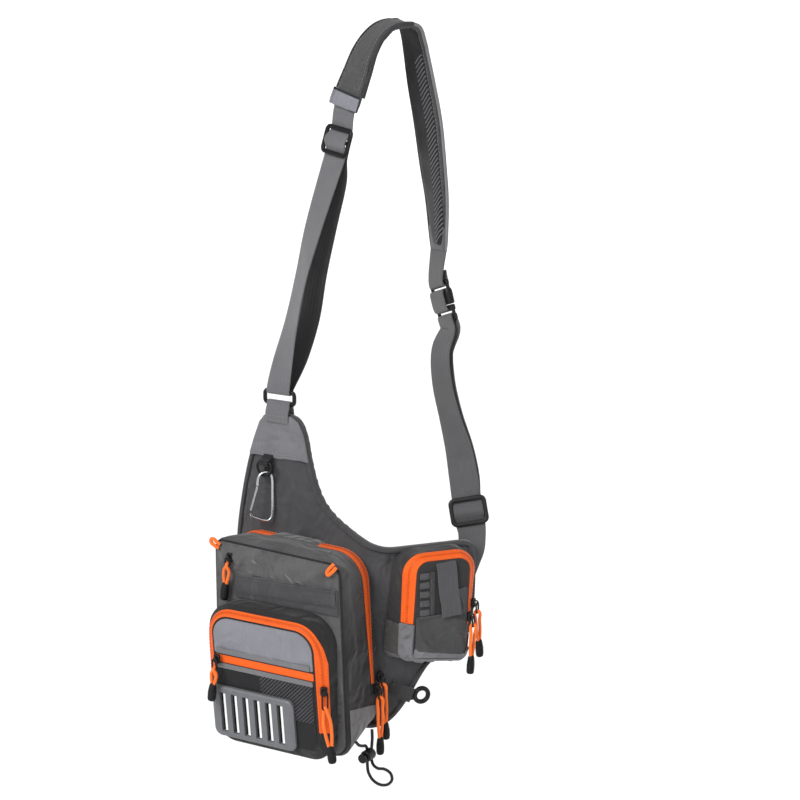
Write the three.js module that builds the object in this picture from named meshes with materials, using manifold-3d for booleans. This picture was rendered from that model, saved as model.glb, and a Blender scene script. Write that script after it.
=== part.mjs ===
// Sling pack that hangs from the top of its shoulder strap. Sizes are real millimetres.
// Pack frame: x to the right along the main compartment, y towards the wearer, z up,
// z = 0 at the main compartment's top front edge and y = 0 at the front of the back panel.
import * as THREE from "three";
import { mergeVertices } from "three/addons/utils/BufferGeometryUtils.js";
import Module from "manifold-3d";

const wasm = await Module();
wasm.setup();

// Shared sizes
const HANG = { x: 152, y: 114, z: 632 };
const GAP = 0.4;
const WEB = { width: 38, thickness: 1.8 };
const ARC_STEPS = 5;
const MIN_RADIUS = 1;
const DEGREE = Math.PI / 180;

// Finishes
const finish = (name, color) => new THREE.MeshStandardMaterial({ name, color, roughness: 0.8 });
const FINISH = {
  darkCloth: finish("dark_cloth", 0x4b4b4d),
  lightCloth: finish("light_cloth", 0x8f8f95),
  webbing: finish("webbing", 0x76767a),
  orange: finish("orange_tape", 0xf2762a),
  blackPlastic: finish("black_plastic", 0x1c1c1e),
  greyPlastic: finish("grey_plastic", 0x66666b),
  whitePlastic: finish("white_plastic", 0xe6e6e6),
  mesh: finish("mesh_cloth", 0x3a3a3c),
  steel: finish("steel", 0xc4c6c8),
};

const vec = (x, y, z) => new THREE.Vector3(x, y, z);

// Adds one named solid to a group.
function addPiece(group, name, geometry, material) {
  const piece = new THREE.Mesh(geometry, material);
  piece.name = name;
  group.add(piece);
  return piece;
}

// Signed volume of an indexed triangle list; it is positive when the faces look outwards.
function signedVolume(points, index) {
  let volume = 0;
  for (let i = 0; i < index.length; i += 3) {
    const [a, b, c] = [points[index[i]], points[index[i + 1]], points[index[i + 2]]];
    volume += a.dot(b.clone().cross(c)) / 6;
  }
  return volume;
}

// A closed solid through rings with equal point counts: capped at both ends, or joined end to end.
function loft(rings, joined = false) {
  const count = rings[0].length;
  const points = rings.flat();
  const index = [];
  const spans = joined ? rings.length : rings.length - 1;
  for (let i = 0; i < spans; i += 1) {
    const near = i * count;
    const far = ((i + 1) % rings.length) * count;
    for (let j = 0; j < count; j += 1) {
      const k = (j + 1) % count;
      index.push(near + j, near + k, far + k, near + j, far + k, far + j);
    }
  }
  if (!joined) {
    [rings[0], rings[rings.length - 1]].forEach((ring, end) => {
      const first = end * (rings.length - 1) * count;
      const middle = points.length;
      points.push(ring.reduce((sum, p) => sum.add(p), vec(0, 0, 0)).divideScalar(count));
      for (let j = 0; j < count; j += 1) {
        const k = (j + 1) % count;
        index.push(middle, first + (end ? j : k), first + (end ? k : j));
      }
    });
  }
  if (signedVolume(points, index) < 0) index.reverse();
  const geometry = new THREE.BufferGeometry().setFromPoints(points);
  geometry.setIndex(index);
  geometry.computeVertexNormals();
  return geometry;
}

// Solid operations on closed geometries
function toSolid(geometry) {
  const plain = geometry.clone();
  plain.deleteAttribute("normal");
  plain.deleteAttribute("uv");
  const merged = mergeVertices(plain, 1e-4);
  return new wasm.Manifold(new wasm.Mesh({
    numProp: 3,
    vertProperties: new Float32Array(merged.attributes.position.array),
    triVerts: new Uint32Array(merged.index.array),
  }));
}

function toGeometry(solid) {
  const mesh = solid.getMesh();
  const geometry = new THREE.BufferGeometry();
  geometry.setAttribute("position", new THREE.BufferAttribute(new Float32Array(mesh.vertProperties), 3));
  geometry.setIndex(new THREE.BufferAttribute(new Uint32Array(mesh.triVerts), 1));
  geometry.computeVertexNormals();
  return geometry;
}

// Joins the first list of geometries and cuts the second list out of them.
function carve(added, removed = []) {
  let solid = added.map(toSolid).reduce((whole, next) => whole.add(next));
  removed.map(toSolid).forEach((tool) => { solid = solid.subtract(tool); });
  return toGeometry(solid);
}

// A box between two corners.
function block(low, high) {
  const box = new THREE.BoxGeometry(high[0] - low[0], high[1] - low[1], high[2] - low[2]);
  return box.translate((low[0] + high[0]) / 2, (low[1] + high[1]) / 2, (low[2] + high[2]) / 2);
}

// A round bar between two points.
function rod(from, to, radius, sides = 10) {
  const line = to.clone().sub(from);
  const bar = new THREE.CylinderGeometry(radius, radius, line.length(), sides);
  const turn = new THREE.Quaternion().setFromUnitVectors(vec(0, 1, 0), line.clone().normalize());
  const middle = from.clone().add(to).multiplyScalar(0.5);
  return bar.applyQuaternion(turn).translate(middle.x, middle.y, middle.z);
}

// Round cord or wire along a curve; a closed curve gives a ring.
function cordAlong(curve, radius, steps, sides = 6) {
  if (!curve.closed) {
    const section = new THREE.Shape();
    for (let i = 0; i < sides; i += 1) {
      const turn = (2 * Math.PI * i) / sides;
      const [x, y] = [radius * Math.cos(turn), radius * Math.sin(turn)];
      if (i === 0) section.moveTo(x, y);
      else section.lineTo(x, y);
    }
    return new THREE.ExtrudeGeometry(section, { extrudePath: curve, steps, bevelEnabled: false });
  }
  const frames = curve.computeFrenetFrames(steps, true);
  const rings = [];
  for (let i = 0; i < steps; i += 1) {
    const middle = curve.getPointAt(i / steps);
    rings.push(Array.from({ length: sides }, (_, j) => {
      const turn = (2 * Math.PI * j) / sides;
      return middle.clone()
        .addScaledVector(frames.normals[i], radius * Math.cos(turn))
        .addScaledVector(frames.binormals[i], radius * Math.sin(turn));
    }));
  }
  return loft(rings, true);
}

const smooth = (points, closed = false) => new THREE.CatmullRomCurve3(points, closed, "centripetal");

// Points round a polygon with rounded corners, counter-clockwise in x and z, with outward normals.
function outlineRing(corners, inset = 0, steps = ARC_STEPS) {
  const inward = (a, b) => {
    const length = Math.hypot(b.x - a.x, b.z - a.z);
    return { x: -(b.z - a.z) / length, z: (b.x - a.x) / length };
  };
  return corners.flatMap((corner, i) => {
    const before = inward(corners[(i + corners.length - 1) % corners.length], corner);
    const after = inward(corner, corners[(i + 1) % corners.length]);
    const share = 1 + before.x * after.x + before.z * after.z;
    const radius = Math.max(corner.r - inset, MIN_RADIUS);
    const reach = (inset + radius) / share;
    const middle = { x: corner.x + (before.x + after.x) * reach, z: corner.z + (before.z + after.z) * reach };
    const start = Math.atan2(-before.z, -before.x);
    let sweep = Math.atan2(-after.z, -after.x) - start;
    if (sweep < 0) sweep += 2 * Math.PI;
    return Array.from({ length: steps + 1 }, (_, s) => {
      const turn = start + (sweep * s) / steps;
      const normal = { nx: Math.cos(turn), nz: Math.sin(turn) };
      return { x: middle.x + radius * normal.nx, z: middle.z + radius * normal.nz, ...normal };
    });
  });
}

// The part of a four-cornered outline that runs over its top or under its foot, between two heights.
// Corners go foot left, foot right, top right, top left.
function outlineRun(corners, overTop, startHeight, endHeight) {
  const per = ARC_STEPS + 1;
  const ring = outlineRing(corners);
  const run = overTop ? ring.slice(2 * per) : ring.slice(0, 2 * per);
  const along = (a, b, height, like) => {
    const share = (height - a.z) / (b.z - a.z);
    return { ...like, x: a.x + (b.x - a.x) * share, z: height };
  };
  const right = [ring[2 * per - 1], ring[2 * per]];
  const left = [ring[4 * per - 1], ring[0]];
  const [startEdge, endEdge] = overTop ? [right, left] : [left, right];
  return [
    along(startEdge[0], startEdge[1], startHeight, run[0]),
    ...run,
    along(endEdge[0], endEdge[1], endHeight, run[run.length - 1]),
  ];
}

const inFront = (x, depth, z) => vec(x, -depth, z);

// A cloth pouch that is open at the back: inner skin from front to back, then outer skin to the front.
function pouch(sections, wall, cornersAt, place = inFront) {
  const skin = (section, i, thick) => {
    const depth = i === 0 ? section.depth : section.depth - thick;
    return outlineRing(cornersAt(section.depth), section.inset + thick)
      .map((p) => place(p.x, depth, p.z));
  };
  const inner = sections.map((section, i) => skin(section, i, wall)).reverse();
  const outer = sections.map((section, i) => skin(section, i, 0));
  return loft([...inner, ...outer]);
}

// A cloth strip that lies on a pouch between two depths. Each edge has its run, depth and inset.
function strip(back, front, lift, thickness, place = inFront) {
  const slope = Math.atan2(front.inset - back.inset, front.depth - back.depth);
  const [outwards, forwards] = [Math.cos(slope), Math.sin(slope)];
  const lay = (edge, i, height) => {
    const p = edge.run[i];
    const out = outwards * height - edge.inset;
    return place(p.x + p.nx * out, edge.depth + forwards * height, p.z + p.nz * out);
  };
  return loft(back.run.map((_, i) => [
    lay(back, i, lift), lay(front, i, lift), lay(front, i, lift + thickness), lay(back, i, lift + thickness),
  ]));
}

// A flat sheet with rounded corners on a front face, from a depth forwards.
function sheet(corners, depth, thickness, place = inFront, steps = ARC_STEPS) {
  const ring = outlineRing(corners, 0, steps);
  return loft([depth, depth + thickness].map((d) => ring.map((p) => place(p.x, d, p.z))));
}

const corner = (x, z, r) => ({ x, z, r });
const rectangle = (left, foot, right, top, footRadius, topRadius = footRadius) => [
  corner(left, foot, footRadius), corner(right, foot, footRadius),
  corner(right, top, topRadius), corner(left, top, topRadius),
];

// Straight-line value of a column in a table that is sorted by its key column.
function lookUp(table, key, column, value) {
  const after = Math.max(1, table.findIndex((row) => row[key] >= value));
  const [a, b] = [table[after - 1], table[after]];
  return a[column] + ((b[column] - a[column]) * (value - a[key])) / (b[key] - a[key]);
}

// Direction across a strap whose visible face looks along the given azimuth from the front.
const acrossFor = (face) => vec(Math.cos(face * DEGREE), Math.sin(face * DEGREE), 0);

// A strap through stations with a middle, a direction across it, a width and a thickness.
// Bevelled edges make the padded section.
function ribbon(stations, bevel = 0) {
  return loft(stations.map((station, i) => {
    const before = stations[Math.max(i - 1, 0)].at;
    const after = stations[Math.min(i + 1, stations.length - 1)].at;
    const along = after.clone().sub(before).normalize();
    const across = station.across.clone().addScaledVector(along, -along.dot(station.across)).normalize();
    const out = along.clone().cross(across);
    const [w, t] = [station.width / 2, station.thickness / 2];
    const section = bevel
      ? [[-w + bevel, -t], [w - bevel, -t], [w, -t + bevel], [w, t - bevel],
        [w - bevel, t], [-w + bevel, t], [-w, t - bevel], [-w, -t + bevel]]
      : [[-w, -t], [w, -t], [w, t], [-w, t]];
    return section.map(([a, o]) => station.at.clone().addScaledVector(across, a).addScaledVector(out, o));
  }));
}

const webStation = (at, across, width = WEB.width, thickness = WEB.thickness) => (
  { at, across, width, thickness });

// Axes of a fitting on a strap: across it, down it and out of its visible face.
function fittingAxes(middle, downTo, face) {
  const down = downTo.clone().sub(middle).normalize();
  const flat = acrossFor(face);
  const across = flat.addScaledVector(down, -down.dot(flat)).normalize();
  const out = down.clone().cross(across);
  const point = (a, d, o) => middle.clone()
    .addScaledVector(across, a).addScaledVector(down, d).addScaledVector(out, o);
  const matrix = new THREE.Matrix4().makeBasis(across, down.clone().negate(), out).setPosition(middle);
  return { across, down, out, point, matrix };
}

const pack = new THREE.Group();
pack.name = "sling_pack";
const body = new THREE.Group();
body.position.set(-HANG.x, -HANG.y, -HANG.z);
pack.add(body);

// Back panel: a padded slab that bends round the wearer's side into a wing
const PANEL = { thickness: 9, bevel: 2.5, bendStart: 165, bendRadius: 50, turn: 50 * DEGREE, pipe: 2.6 };
const BEND_LENGTH = PANEL.bendRadius * PANEL.turn;
const WING_START = PANEL.bendStart + BEND_LENGTH;

// Heights of the panel's edges, by distance along the panel from the main compartment's left side
const PANEL_EDGES = [
  { along: -26, top: -30, foot: -192 },
  { along: -20, top: 18, foot: -222 },
  { along: -7, top: 78, foot: -240 },
  { along: 5, top: 114, foot: -247 },
  { along: 14, top: 137, foot: -250 },
  { along: 22, top: 146, foot: -251 },
  { along: 60, top: 147, foot: -252 },
  { along: 70, top: 141, foot: -252 },
  { along: 78, top: 124, foot: -252 },
  { along: 84, top: 95, foot: -252 },
  { along: 92, top: 65, foot: -252 },
  { along: 102, top: 43, foot: -252 },
  { along: 117, top: 26, foot: -252 },
  { along: 143, top: 9, foot: -251 },
  { along: 165, top: -2, foot: -250 },
  { along: 178, top: -6, foot: -248 },
  { along: 193, top: -9, foot: -242 },
  { along: 209, top: -10, foot: -229 },
  { along: 224, top: -10, foot: -210 },
  { along: 240, top: -10, foot: -184 },
  { along: 252, top: -10, foot: -168 },
  { along: 264, top: -10, foot: -160 },
  { along: 280, top: -10, foot: -156 },
  { along: 294, top: -10, foot: -150 },
  { along: 304, top: -11, foot: -138 },
  { along: 311, top: -15, foot: -112 },
  { along: 314, top: -28, foot: -80 },
];

// A point on the panel from its distance along, its height and its distance behind the front face.
function onPanel(along, back, z) {
  if (along <= PANEL.bendStart) return vec(along, back, z);
  const turn = Math.min((along - PANEL.bendStart) / PANEL.bendRadius, PANEL.turn);
  const rest = Math.max(along - WING_START, 0);
  const reach = PANEL.bendRadius - back;
  return vec(
    PANEL.bendStart + reach * Math.sin(turn) + rest * Math.cos(turn),
    PANEL.bendRadius - reach * Math.cos(turn) + rest * Math.sin(turn),
    z,
  );
}

const slab = PANEL_EDGES.map(({ along, top, foot }) => {
  const [b, t] = [PANEL.bevel, PANEL.thickness];
  return [
    [foot + b, 0], [top - b, 0], [top, b], [top, t - b],
    [top - b, t], [foot + b, t], [foot, t - b], [foot, b],
  ].map(([z, back]) => onPanel(along, back, z));
});
addPiece(body, "back_panel", loft(slab), FINISH.darkCloth);

// Piping round the panel: the edge polygon moved outwards, with mitred corners
const edgePolygon = [
  ...PANEL_EDGES.map(({ along, foot }) => ({ x: along, z: foot })),
  ...PANEL_EDGES.slice().reverse().map(({ along, top }) => ({ x: along, z: top })),
];
const PIPE_GAP = 1.5 * GAP;
const pipeRings = edgePolygon.map((p, i) => {
  const before = edgePolygon[(i + edgePolygon.length - 1) % edgePolygon.length];
  const after = edgePolygon[(i + 1) % edgePolygon.length];
  const outward = (a, b) => {
    const length = Math.hypot(b.x - a.x, b.z - a.z);
    return { x: (b.z - a.z) / length, z: -(b.x - a.x) / length };
  };
  const [n1, n2] = [outward(before, p), outward(p, after)];
  const share = 1 + n1.x * n2.x + n1.z * n2.z;
  const mitre = { x: (n1.x + n2.x) / share, z: (n1.z + n2.z) / share };
  return Array.from({ length: 6 }, (_, j) => {
    const turn = (2 * Math.PI * j) / 6;
    const out = PANEL.pipe + PIPE_GAP + PANEL.pipe * Math.cos(turn);
    const back = PANEL.thickness / 2 + PANEL.pipe * Math.sin(turn);
    return onPanel(p.x + mitre.x * out, back, p.z + mitre.z * out);
  });
});
addPiece(body, "panel_piping", loft(pipeRings, true), FINISH.blackPlastic);

// Light grey patch at the peak of the panel
const PATCH = { foot: 84, margin: 5, lift: GAP, thickness: 1.4 };
const patchColumns = [-3, 5, 14, 22, 60, 70, 78, 84];
const patchRings = patchColumns.map((along) => {
  const top = lookUp(PANEL_EDGES, "along", "top", along) - PATCH.margin;
  const [near, far] = [-PATCH.lift, -PATCH.lift - PATCH.thickness];
  return [[PATCH.foot, near], [top, near], [top, far], [PATCH.foot, far]]
    .map(([z, back]) => onPanel(along, back, z));
});
addPiece(body, "peak_patch", loft(patchRings), FINISH.lightCloth);
const PATCH_FACE = -PATCH.lift - PATCH.thickness;

// Main compartment: its outline at each depth in front of the panel
const MAIN = { footRight: 195, topTilt: 3, wall: 2 };
const mainOutline = (left, right, top, foot, leftRadius, rightRadius, footRadius) => (
  { left, right, top, foot, leftRadius, rightRadius, footRadius });
const MAIN_FACE = mainOutline(-2, 185, 0, -257, 12, 20, 22);
const MAIN_SECTIONS = [
  { depth: 0.6, inset: 0, ...mainOutline(-12, 171, -11, -240, 30, 40, 34) },
  { depth: 26, inset: 0, ...mainOutline(-9, 175, -8, -245, 26, 38, 32) },
  { depth: 80, inset: 0, ...MAIN_FACE },
  { depth: 86, inset: 2.5, ...MAIN_FACE },
  { depth: 88, inset: 7, ...MAIN_FACE },
];
// The right side leans out towards the foot, and the top edge falls a little to the right.
const mainCorners = (depth) => {
  const at = (column) => lookUp(MAIN_SECTIONS, "depth", column, depth);
  return [
    corner(at("left"), at("foot"), at("footRadius")),
    corner(MAIN.footRight, at("foot"), at("footRadius")),
    corner(at("right"), at("top") - MAIN.topTilt, at("rightRadius")),
    corner(at("left"), at("top") + MAIN.topTilt, at("leftRadius")),
  ];
};
// How far right the main compartment reaches at a depth and a height on its right side
function mainRightAt(depth, z) {
  const [, foot, top] = mainCorners(depth);
  return top.x + ((foot.x - top.x) * (z - top.z)) / (foot.z - top.z);
}
const MAIN_FRONT = 88;
addPiece(body, "main_shell", pouch(MAIN_SECTIONS, MAIN.wall, mainCorners), FINISH.darkCloth);

const MAIN_ZIP = { back: 4, front: 23, low: -178, lift: 2 * GAP, thickness: 1.6 };
const mainZipEdge = (depth) => ({
  run: outlineRun(mainCorners(depth), true, MAIN_ZIP.low, MAIN_ZIP.low), depth, inset: 0,
});
addPiece(body, "main_zip",
  strip(mainZipEdge(MAIN_ZIP.back), mainZipEdge(MAIN_ZIP.front), MAIN_ZIP.lift, MAIN_ZIP.thickness),
  FINISH.orange);

const FOOT_PATCH = { height: -200, back: 14, front: 80, lift: GAP, thickness: 1.2 };
const footPatchEdge = (depth) => ({
  run: outlineRun(mainCorners(depth), false, FOOT_PATCH.height, FOOT_PATCH.height), depth, inset: 0,
});
addPiece(body, "foot_patch", strip(
  footPatchEdge(FOOT_PATCH.back), footPatchEdge(FOOT_PATCH.front), FOOT_PATCH.lift, FOOT_PATCH.thickness),
FINISH.lightCloth);

// Flat slip pocket and the band along its hem, on the upper front
const slanted = (left, leftFoot, leftTop, right, rightFoot, rightTop, radius) => [
  corner(left, leftFoot, radius), corner(right, rightFoot, radius),
  corner(right, rightTop, radius), corner(left, leftTop, radius),
];
const SLIP_THICKNESS = 3;
addPiece(body, "slip_pocket",
  sheet(slanted(30, -69, -41, 179, -69, -35, 4), MAIN_FRONT + GAP, SLIP_THICKNESS), FINISH.darkCloth);
addPiece(body, "front_band",
  sheet(slanted(33, -62, -43, 177, -57, -37, 2), MAIN_FRONT + SLIP_THICKNESS + 2 * GAP, WEB.thickness),
  FINISH.darkCloth);

// Lash loops at the upper front corners: rows of x, depth and height
const LASH_RADIUS = 1.3;
const LASH_LOOPS = {
  lash_loop_left: [[10, 90.2, -4], [5, 92, 1], [0, 93, 5.4], [-4, 93.4, 4.4], [-4.2, 93.4, -0.6],
    [0.4, 92.6, -5.4], [7, 90.4, -9]],
  lash_loop_right: [[177, 90.2, -3], [172.5, 93, -8], [168, 94, -14.5], [170, 94, -18.5],
    [175.4, 93.4, -14.4], [181, 90.2, -7]],
};
Object.entries(LASH_LOOPS).forEach(([name, rows]) => {
  const points = rows.map(([x, depth, z]) => inFront(x, depth, z));
  addPiece(body, name, cordAlong(smooth(points), LASH_RADIUS, 12), FINISH.orange);
});

// Zip sliders and pulls in their own frame: x across, -y out of the cloth, z up
const SLIDER = { width: 9, length: 12, height: 4.2, tabOut: 7.6, tabWidth: 8, tabThick: 1.8, tabEnd: -18,
  eye: 2.9 };
const PULL = { cord: 1.25, eyeHeight: -13.6, gripLength: 23, gripRadius: 5.2 };

function sliderGeometry() {
  const s = SLIDER;
  const shell = block([-s.width / 2, -s.height, -s.length / 2], [s.width / 2, 0, s.length / 2]);
  const bridge = block([-1.6, -s.tabOut - s.tabThick / 2, -1.6], [1.6, -s.height + 0.5, 4]);
  const tab = block([-s.tabWidth / 2, -s.tabOut - s.tabThick / 2, s.tabEnd],
    [s.tabWidth / 2, -s.tabOut + s.tabThick / 2, 2]);
  const eye = rod(vec(0, -s.tabOut - 3, PULL.eyeHeight), vec(0, -s.tabOut + 3, PULL.eyeHeight), s.eye);
  return carve([shell, bridge, tab], [eye]);
}

// The cord loop goes through the tab's eye and ends in a moulded grip. The eye is the pull's origin.
function pullGeometry(loopLength) {
  const half = [
    [3, 2.6], [3.8, loopLength * 0.35], [3.3, loopLength * 0.7], [1.7, loopLength], [1.5, loopLength + 5],
  ];
  const points = [[0, 0], ...half, ...half.map(([out, down]) => [-out, down]).reverse()];
  const loop = cordAlong(smooth(points.map(([out, down]) => vec(0, out, -down)), true), PULL.cord, 22);
  const [top, end] = [-loopLength + 1, -loopLength - PULL.gripLength];
  const profile = [
    [0, end], [3.4, end], [PULL.gripRadius, end + 3], [PULL.gripRadius, end + 9],
    [4.4, top - 4], [3.4, top], [0, top],
  ].map(([r, z]) => new THREE.Vector2(r, z));
  const grip = new THREE.LatheGeometry(profile, 8).rotateX(Math.PI / 2);
  return carve([loop, grip]);
}

// Places a slider and its pull at a point, turned about z so that they look out of the cloth.
// The pull leans to the side and tilts outwards by small angles.
function addZipPull(group, name, at, { turn, loop, lean = 0, tilt = 0 }) {
  const spot = new THREE.Group();
  spot.position.copy(at);
  spot.rotation.z = turn * DEGREE;
  group.add(spot);
  addPiece(spot, `${name}_slider`, sliderGeometry(), FINISH.blackPlastic);
  const pull = pullGeometry(loop).rotateY(lean * DEGREE).rotateX(-tilt * DEGREE)
    .translate(0, -SLIDER.tabOut, PULL.eyeHeight);
  addPiece(spot, `${name}_pull`, pull, FINISH.orange);
}

const onMainZip = (depth, z) => vec(
  mainRightAt(depth, z) + MAIN_ZIP.lift + MAIN_ZIP.thickness + 2 * GAP, -depth, z);
addZipPull(body, "main_upper", onMainZip(8.4, -172), { turn: 90, loop: 50, lean: -4, tilt: 1 });
addZipPull(body, "main_lower", onMainZip(18.4, -186), { turn: 90, loop: 50, lean: 2, tilt: 1 });
addZipPull(body, "slip", vec(24.5, -MAIN_FRONT - GAP, -14), { turn: 0, loop: 25, lean: 8 });

// Lower front pocket: walls, a bevelled edge that carries the zip, and a front that leans back at its foot
const FRONT = { left: 3, right: 180, top: -71, foot: -261, wall: 2, depth: 37, leanBack: 20 };
const frontCorners = () => rectangle(FRONT.left, FRONT.foot, FRONT.right, FRONT.top, 32, 40);
const FRONT_SECTIONS = [
  { depth: 0, inset: 0 },
  { depth: 23, inset: 0 },
  { depth: FRONT.depth, inset: 14 },
];
// Sets a point of the pocket in the pack frame; the lean grows from the main front to the pocket's front.
function onFrontPocket(x, depth, z) {
  const share = Math.min(depth / FRONT.depth, 1);
  const lean = (FRONT.leanBack * (FRONT.top - z)) / (FRONT.top - FRONT.foot);
  return inFront(x, MAIN_FRONT + GAP + depth - lean * share, z);
}
addPiece(body, "front_shell", pouch(FRONT_SECTIONS, FRONT.wall, frontCorners, onFrontPocket),
  FINISH.darkCloth);

const FRONT_ZIP = { lift: 2 * GAP, thickness: 1.6, lowRight: -218, lowLeft: -172 };
const frontZipRun = outlineRun(frontCorners(), true, FRONT_ZIP.lowRight, FRONT_ZIP.lowLeft);
addPiece(body, "front_zip", strip(
  { run: frontZipRun, depth: 23.5, inset: 0.5 }, { run: frontZipRun, depth: 36.5, inset: 13.5 },
  FRONT_ZIP.lift, FRONT_ZIP.thickness, onFrontPocket), FINISH.orange);

const FACE_LIFT = FRONT.depth + GAP;
const faceSheet = (corners, thickness, lift = FACE_LIFT, steps = ARC_STEPS) => (
  sheet(corners, lift, thickness, onFrontPocket, steps));
addPiece(body, "front_flap", faceSheet(rectangle(20, -135, 163, -87, 2, 24), 1.4), FINISH.lightCloth);
addPiece(body, "cross_zip", faceSheet(rectangle(19, -150, 164, -137, 2), 2.2), FINISH.orange);
addPiece(body, "mesh_panel", faceSheet(rectangle(20, -245, 163, -152, 18, 2), 1.2), FINISH.mesh);

// Moulded plate with slots; a white insert behind it shows a bar in the right half of each slot
const PLATE = { left: 12, right: 134, foot: -250, top: -180, radius: 10, thickness: 6, slots: 6, pitch: 17.2,
  slotWidth: 9, slotFoot: -242, slotTop: -188, firstSlot: 29, lip: 2.4 };
const PLATE_LIFT = FACE_LIFT + 1.2 + GAP;
const plateCorners = rectangle(PLATE.left, PLATE.foot, PLATE.right, PLATE.top, PLATE.radius);
const slotMiddles = Array.from({ length: PLATE.slots }, (_, i) => PLATE.firstSlot + PLATE.pitch * i);
const slotTools = slotMiddles.map((x) => faceSheet(
  rectangle(x - PLATE.slotWidth / 2, PLATE.slotFoot, x + PLATE.slotWidth / 2, PLATE.slotTop, 1.5),
  PLATE.thickness + 2, PLATE_LIFT - 1, 1));
const plateBack = faceSheet(
  rectangle(PLATE.left + 6, PLATE.slotFoot - 4, PLATE.right - 6, PLATE.slotTop + 4, 4),
  PLATE.lip + 1, PLATE_LIFT - 1, 1);
addPiece(body, "moulded_plate",
  carve([faceSheet(plateCorners, PLATE.thickness, PLATE_LIFT)], [...slotTools, plateBack]),
  FINISH.greyPlastic);
const insertBack = faceSheet(
  rectangle(PLATE.left + 7, PLATE.slotFoot - 3, PLATE.right - 7, PLATE.slotTop + 3, 3), 1.4,
  PLATE_LIFT + 0.2, 1);
const insertBars = slotMiddles.map((x) => faceSheet(
  rectangle(x + 0.2, PLATE.slotFoot + 1, x + PLATE.slotWidth / 2 - GAP, PLATE.slotTop - 1, 1), 3.6,
  PLATE_LIFT + 1.2, 1));
addPiece(body, "plate_insert", carve([insertBack, ...insertBars]), FINISH.whitePlastic);

// The slider sits on the middle of the bevelled edge.
const FRONT_SLIDER = { z: -160, loop: 46 };
const frontEdge = onFrontPocket(FRONT.right - 7, 30, FRONT_SLIDER.z);
const bevelOut = (FRONT_ZIP.lift + FRONT_ZIP.thickness + 2 * GAP) / Math.SQRT2;
addZipPull(body, "front", vec(frontEdge.x + bevelOut, frontEdge.y - bevelOut, FRONT_SLIDER.z),
  { turn: 45, loop: FRONT_SLIDER.loop, lean: -2 });
const crossFace = onFrontPocket(24, FACE_LIFT + 2.2 + 2 * GAP, -139);
addZipPull(body, "cross", vec(24, crossFace.y, -143), { turn: 0, loop: 18, lean: 5, tilt: 4 });

// Wing frame: x along the wing, -y out of its front face
const wing = new THREE.Group();
wing.position.copy(onPanel(WING_START, 0, 0));
wing.rotation.z = PANEL.turn;
body.add(wing);

// Side pocket on the wing
const SIDE = { wall: 2, depth: 43, bevelStart: 26, bevel: 16, flare: 13 };
// The left side spreads along the panel at its back, most of all at its foot.
const sideCorners = (depth = SIDE.depth) => {
  const flare = SIDE.flare * Math.max(0, 1 - depth / SIDE.bevelStart);
  return [
    corner(-6 - flare, -144 - 0.4 * flare, 12), corner(84, -152, 12),
    corner(98, -9, 27), corner(-1 - 0.2 * flare, -9, 27),
  ];
};
const SIDE_SECTIONS = [
  { depth: 0.6, inset: 0 },
  { depth: SIDE.bevelStart, inset: 0 },
  { depth: SIDE.depth, inset: SIDE.bevel },
];
addPiece(wing, "side_shell", pouch(SIDE_SECTIONS, SIDE.wall, sideCorners), FINISH.darkCloth);
const sideZipRun = outlineRun(sideCorners(), true, -104, -96);
const SIDE_ZIP = { lift: GAP, thickness: 1.6 };
addPiece(wing, "side_zip", strip(
  { run: sideZipRun, depth: SIDE.bevelStart + 0.5, inset: 0.5 },
  { run: sideZipRun, depth: SIDE.depth - 0.5, inset: SIDE.bevel - 0.5 },
  SIDE_ZIP.lift, SIDE_ZIP.thickness), FINISH.orange);
const sideTrimEdge = (depth) => (
  { run: outlineRun(sideCorners(depth), false, -100, -124), depth, inset: 0 });
addPiece(wing, "side_trim", strip(sideTrimEdge(2), sideTrimEdge(SIDE.bevelStart - 0.5), 2 * GAP, 1.2),
  FINISH.lightCloth);

// Sleeve on the pocket's front and the strap that closes it
const SLEEVE = { top: -86, thickness: 5 };
addPiece(wing, "side_sleeve",
  sheet([corner(13, -126, 5), corner(67, -132, 5), corner(72, SLEEVE.top, 3), corner(13, SLEEVE.top, 3)],
    SIDE.depth + GAP, SLEEVE.thickness), FINISH.darkCloth);
const CLOSER = { middle: 50, lean: 0.09, width: 26, thickness: 1.8, top: -28 };
const closerPath = [
  { depth: SIDE.depth + 1.6, z: CLOSER.top },
  { depth: SIDE.depth + 1.8, z: -72 },
  { depth: SIDE.depth + 4, z: -79 },
  { depth: SIDE.depth + SLEEVE.thickness + 2, z: -84 },
  { depth: SIDE.depth + SLEEVE.thickness + 2, z: -97 },
];
const closerMiddle = (z) => CLOSER.middle + (CLOSER.top - z) * CLOSER.lean;
addPiece(wing, "side_closer", ribbon(closerPath.map(({ depth, z }) => webStation(
  inFront(closerMiddle(z), depth, z), vec(1, 0, 0), CLOSER.width, CLOSER.thickness))), FINISH.webbing);

// Right leg of the side zip: its outward direction leans with the pocket's slanted side
const SIDE_LEG = { z: -90, fromTop: { x: 98, z: -9 }, toFoot: { x: 84, z: -152 } };
const legShare = (SIDE_LEG.z - SIDE_LEG.fromTop.z) / (SIDE_LEG.toFoot.z - SIDE_LEG.fromTop.z);
const legX = SIDE_LEG.fromTop.x + (SIDE_LEG.toFoot.x - SIDE_LEG.fromTop.x) * legShare;
const legOut = (SIDE_ZIP.lift + SIDE_ZIP.thickness + GAP + 1.9) / Math.SQRT2;
const legAt = (share, z) => vec(legX - SIDE.bevel * share + legOut,
  -SIDE.bevelStart - (SIDE.depth - SIDE.bevelStart) * share - legOut, z);
addZipPull(wing, "side_upper", legAt(0.22, SIDE_LEG.z + 10), { turn: 45, loop: 36, lean: -4, tilt: 2 });
addZipPull(wing, "side_lower", legAt(0.76, SIDE_LEG.z - 4), { turn: 45, loop: 36, lean: 3, tilt: 2 });

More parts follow.
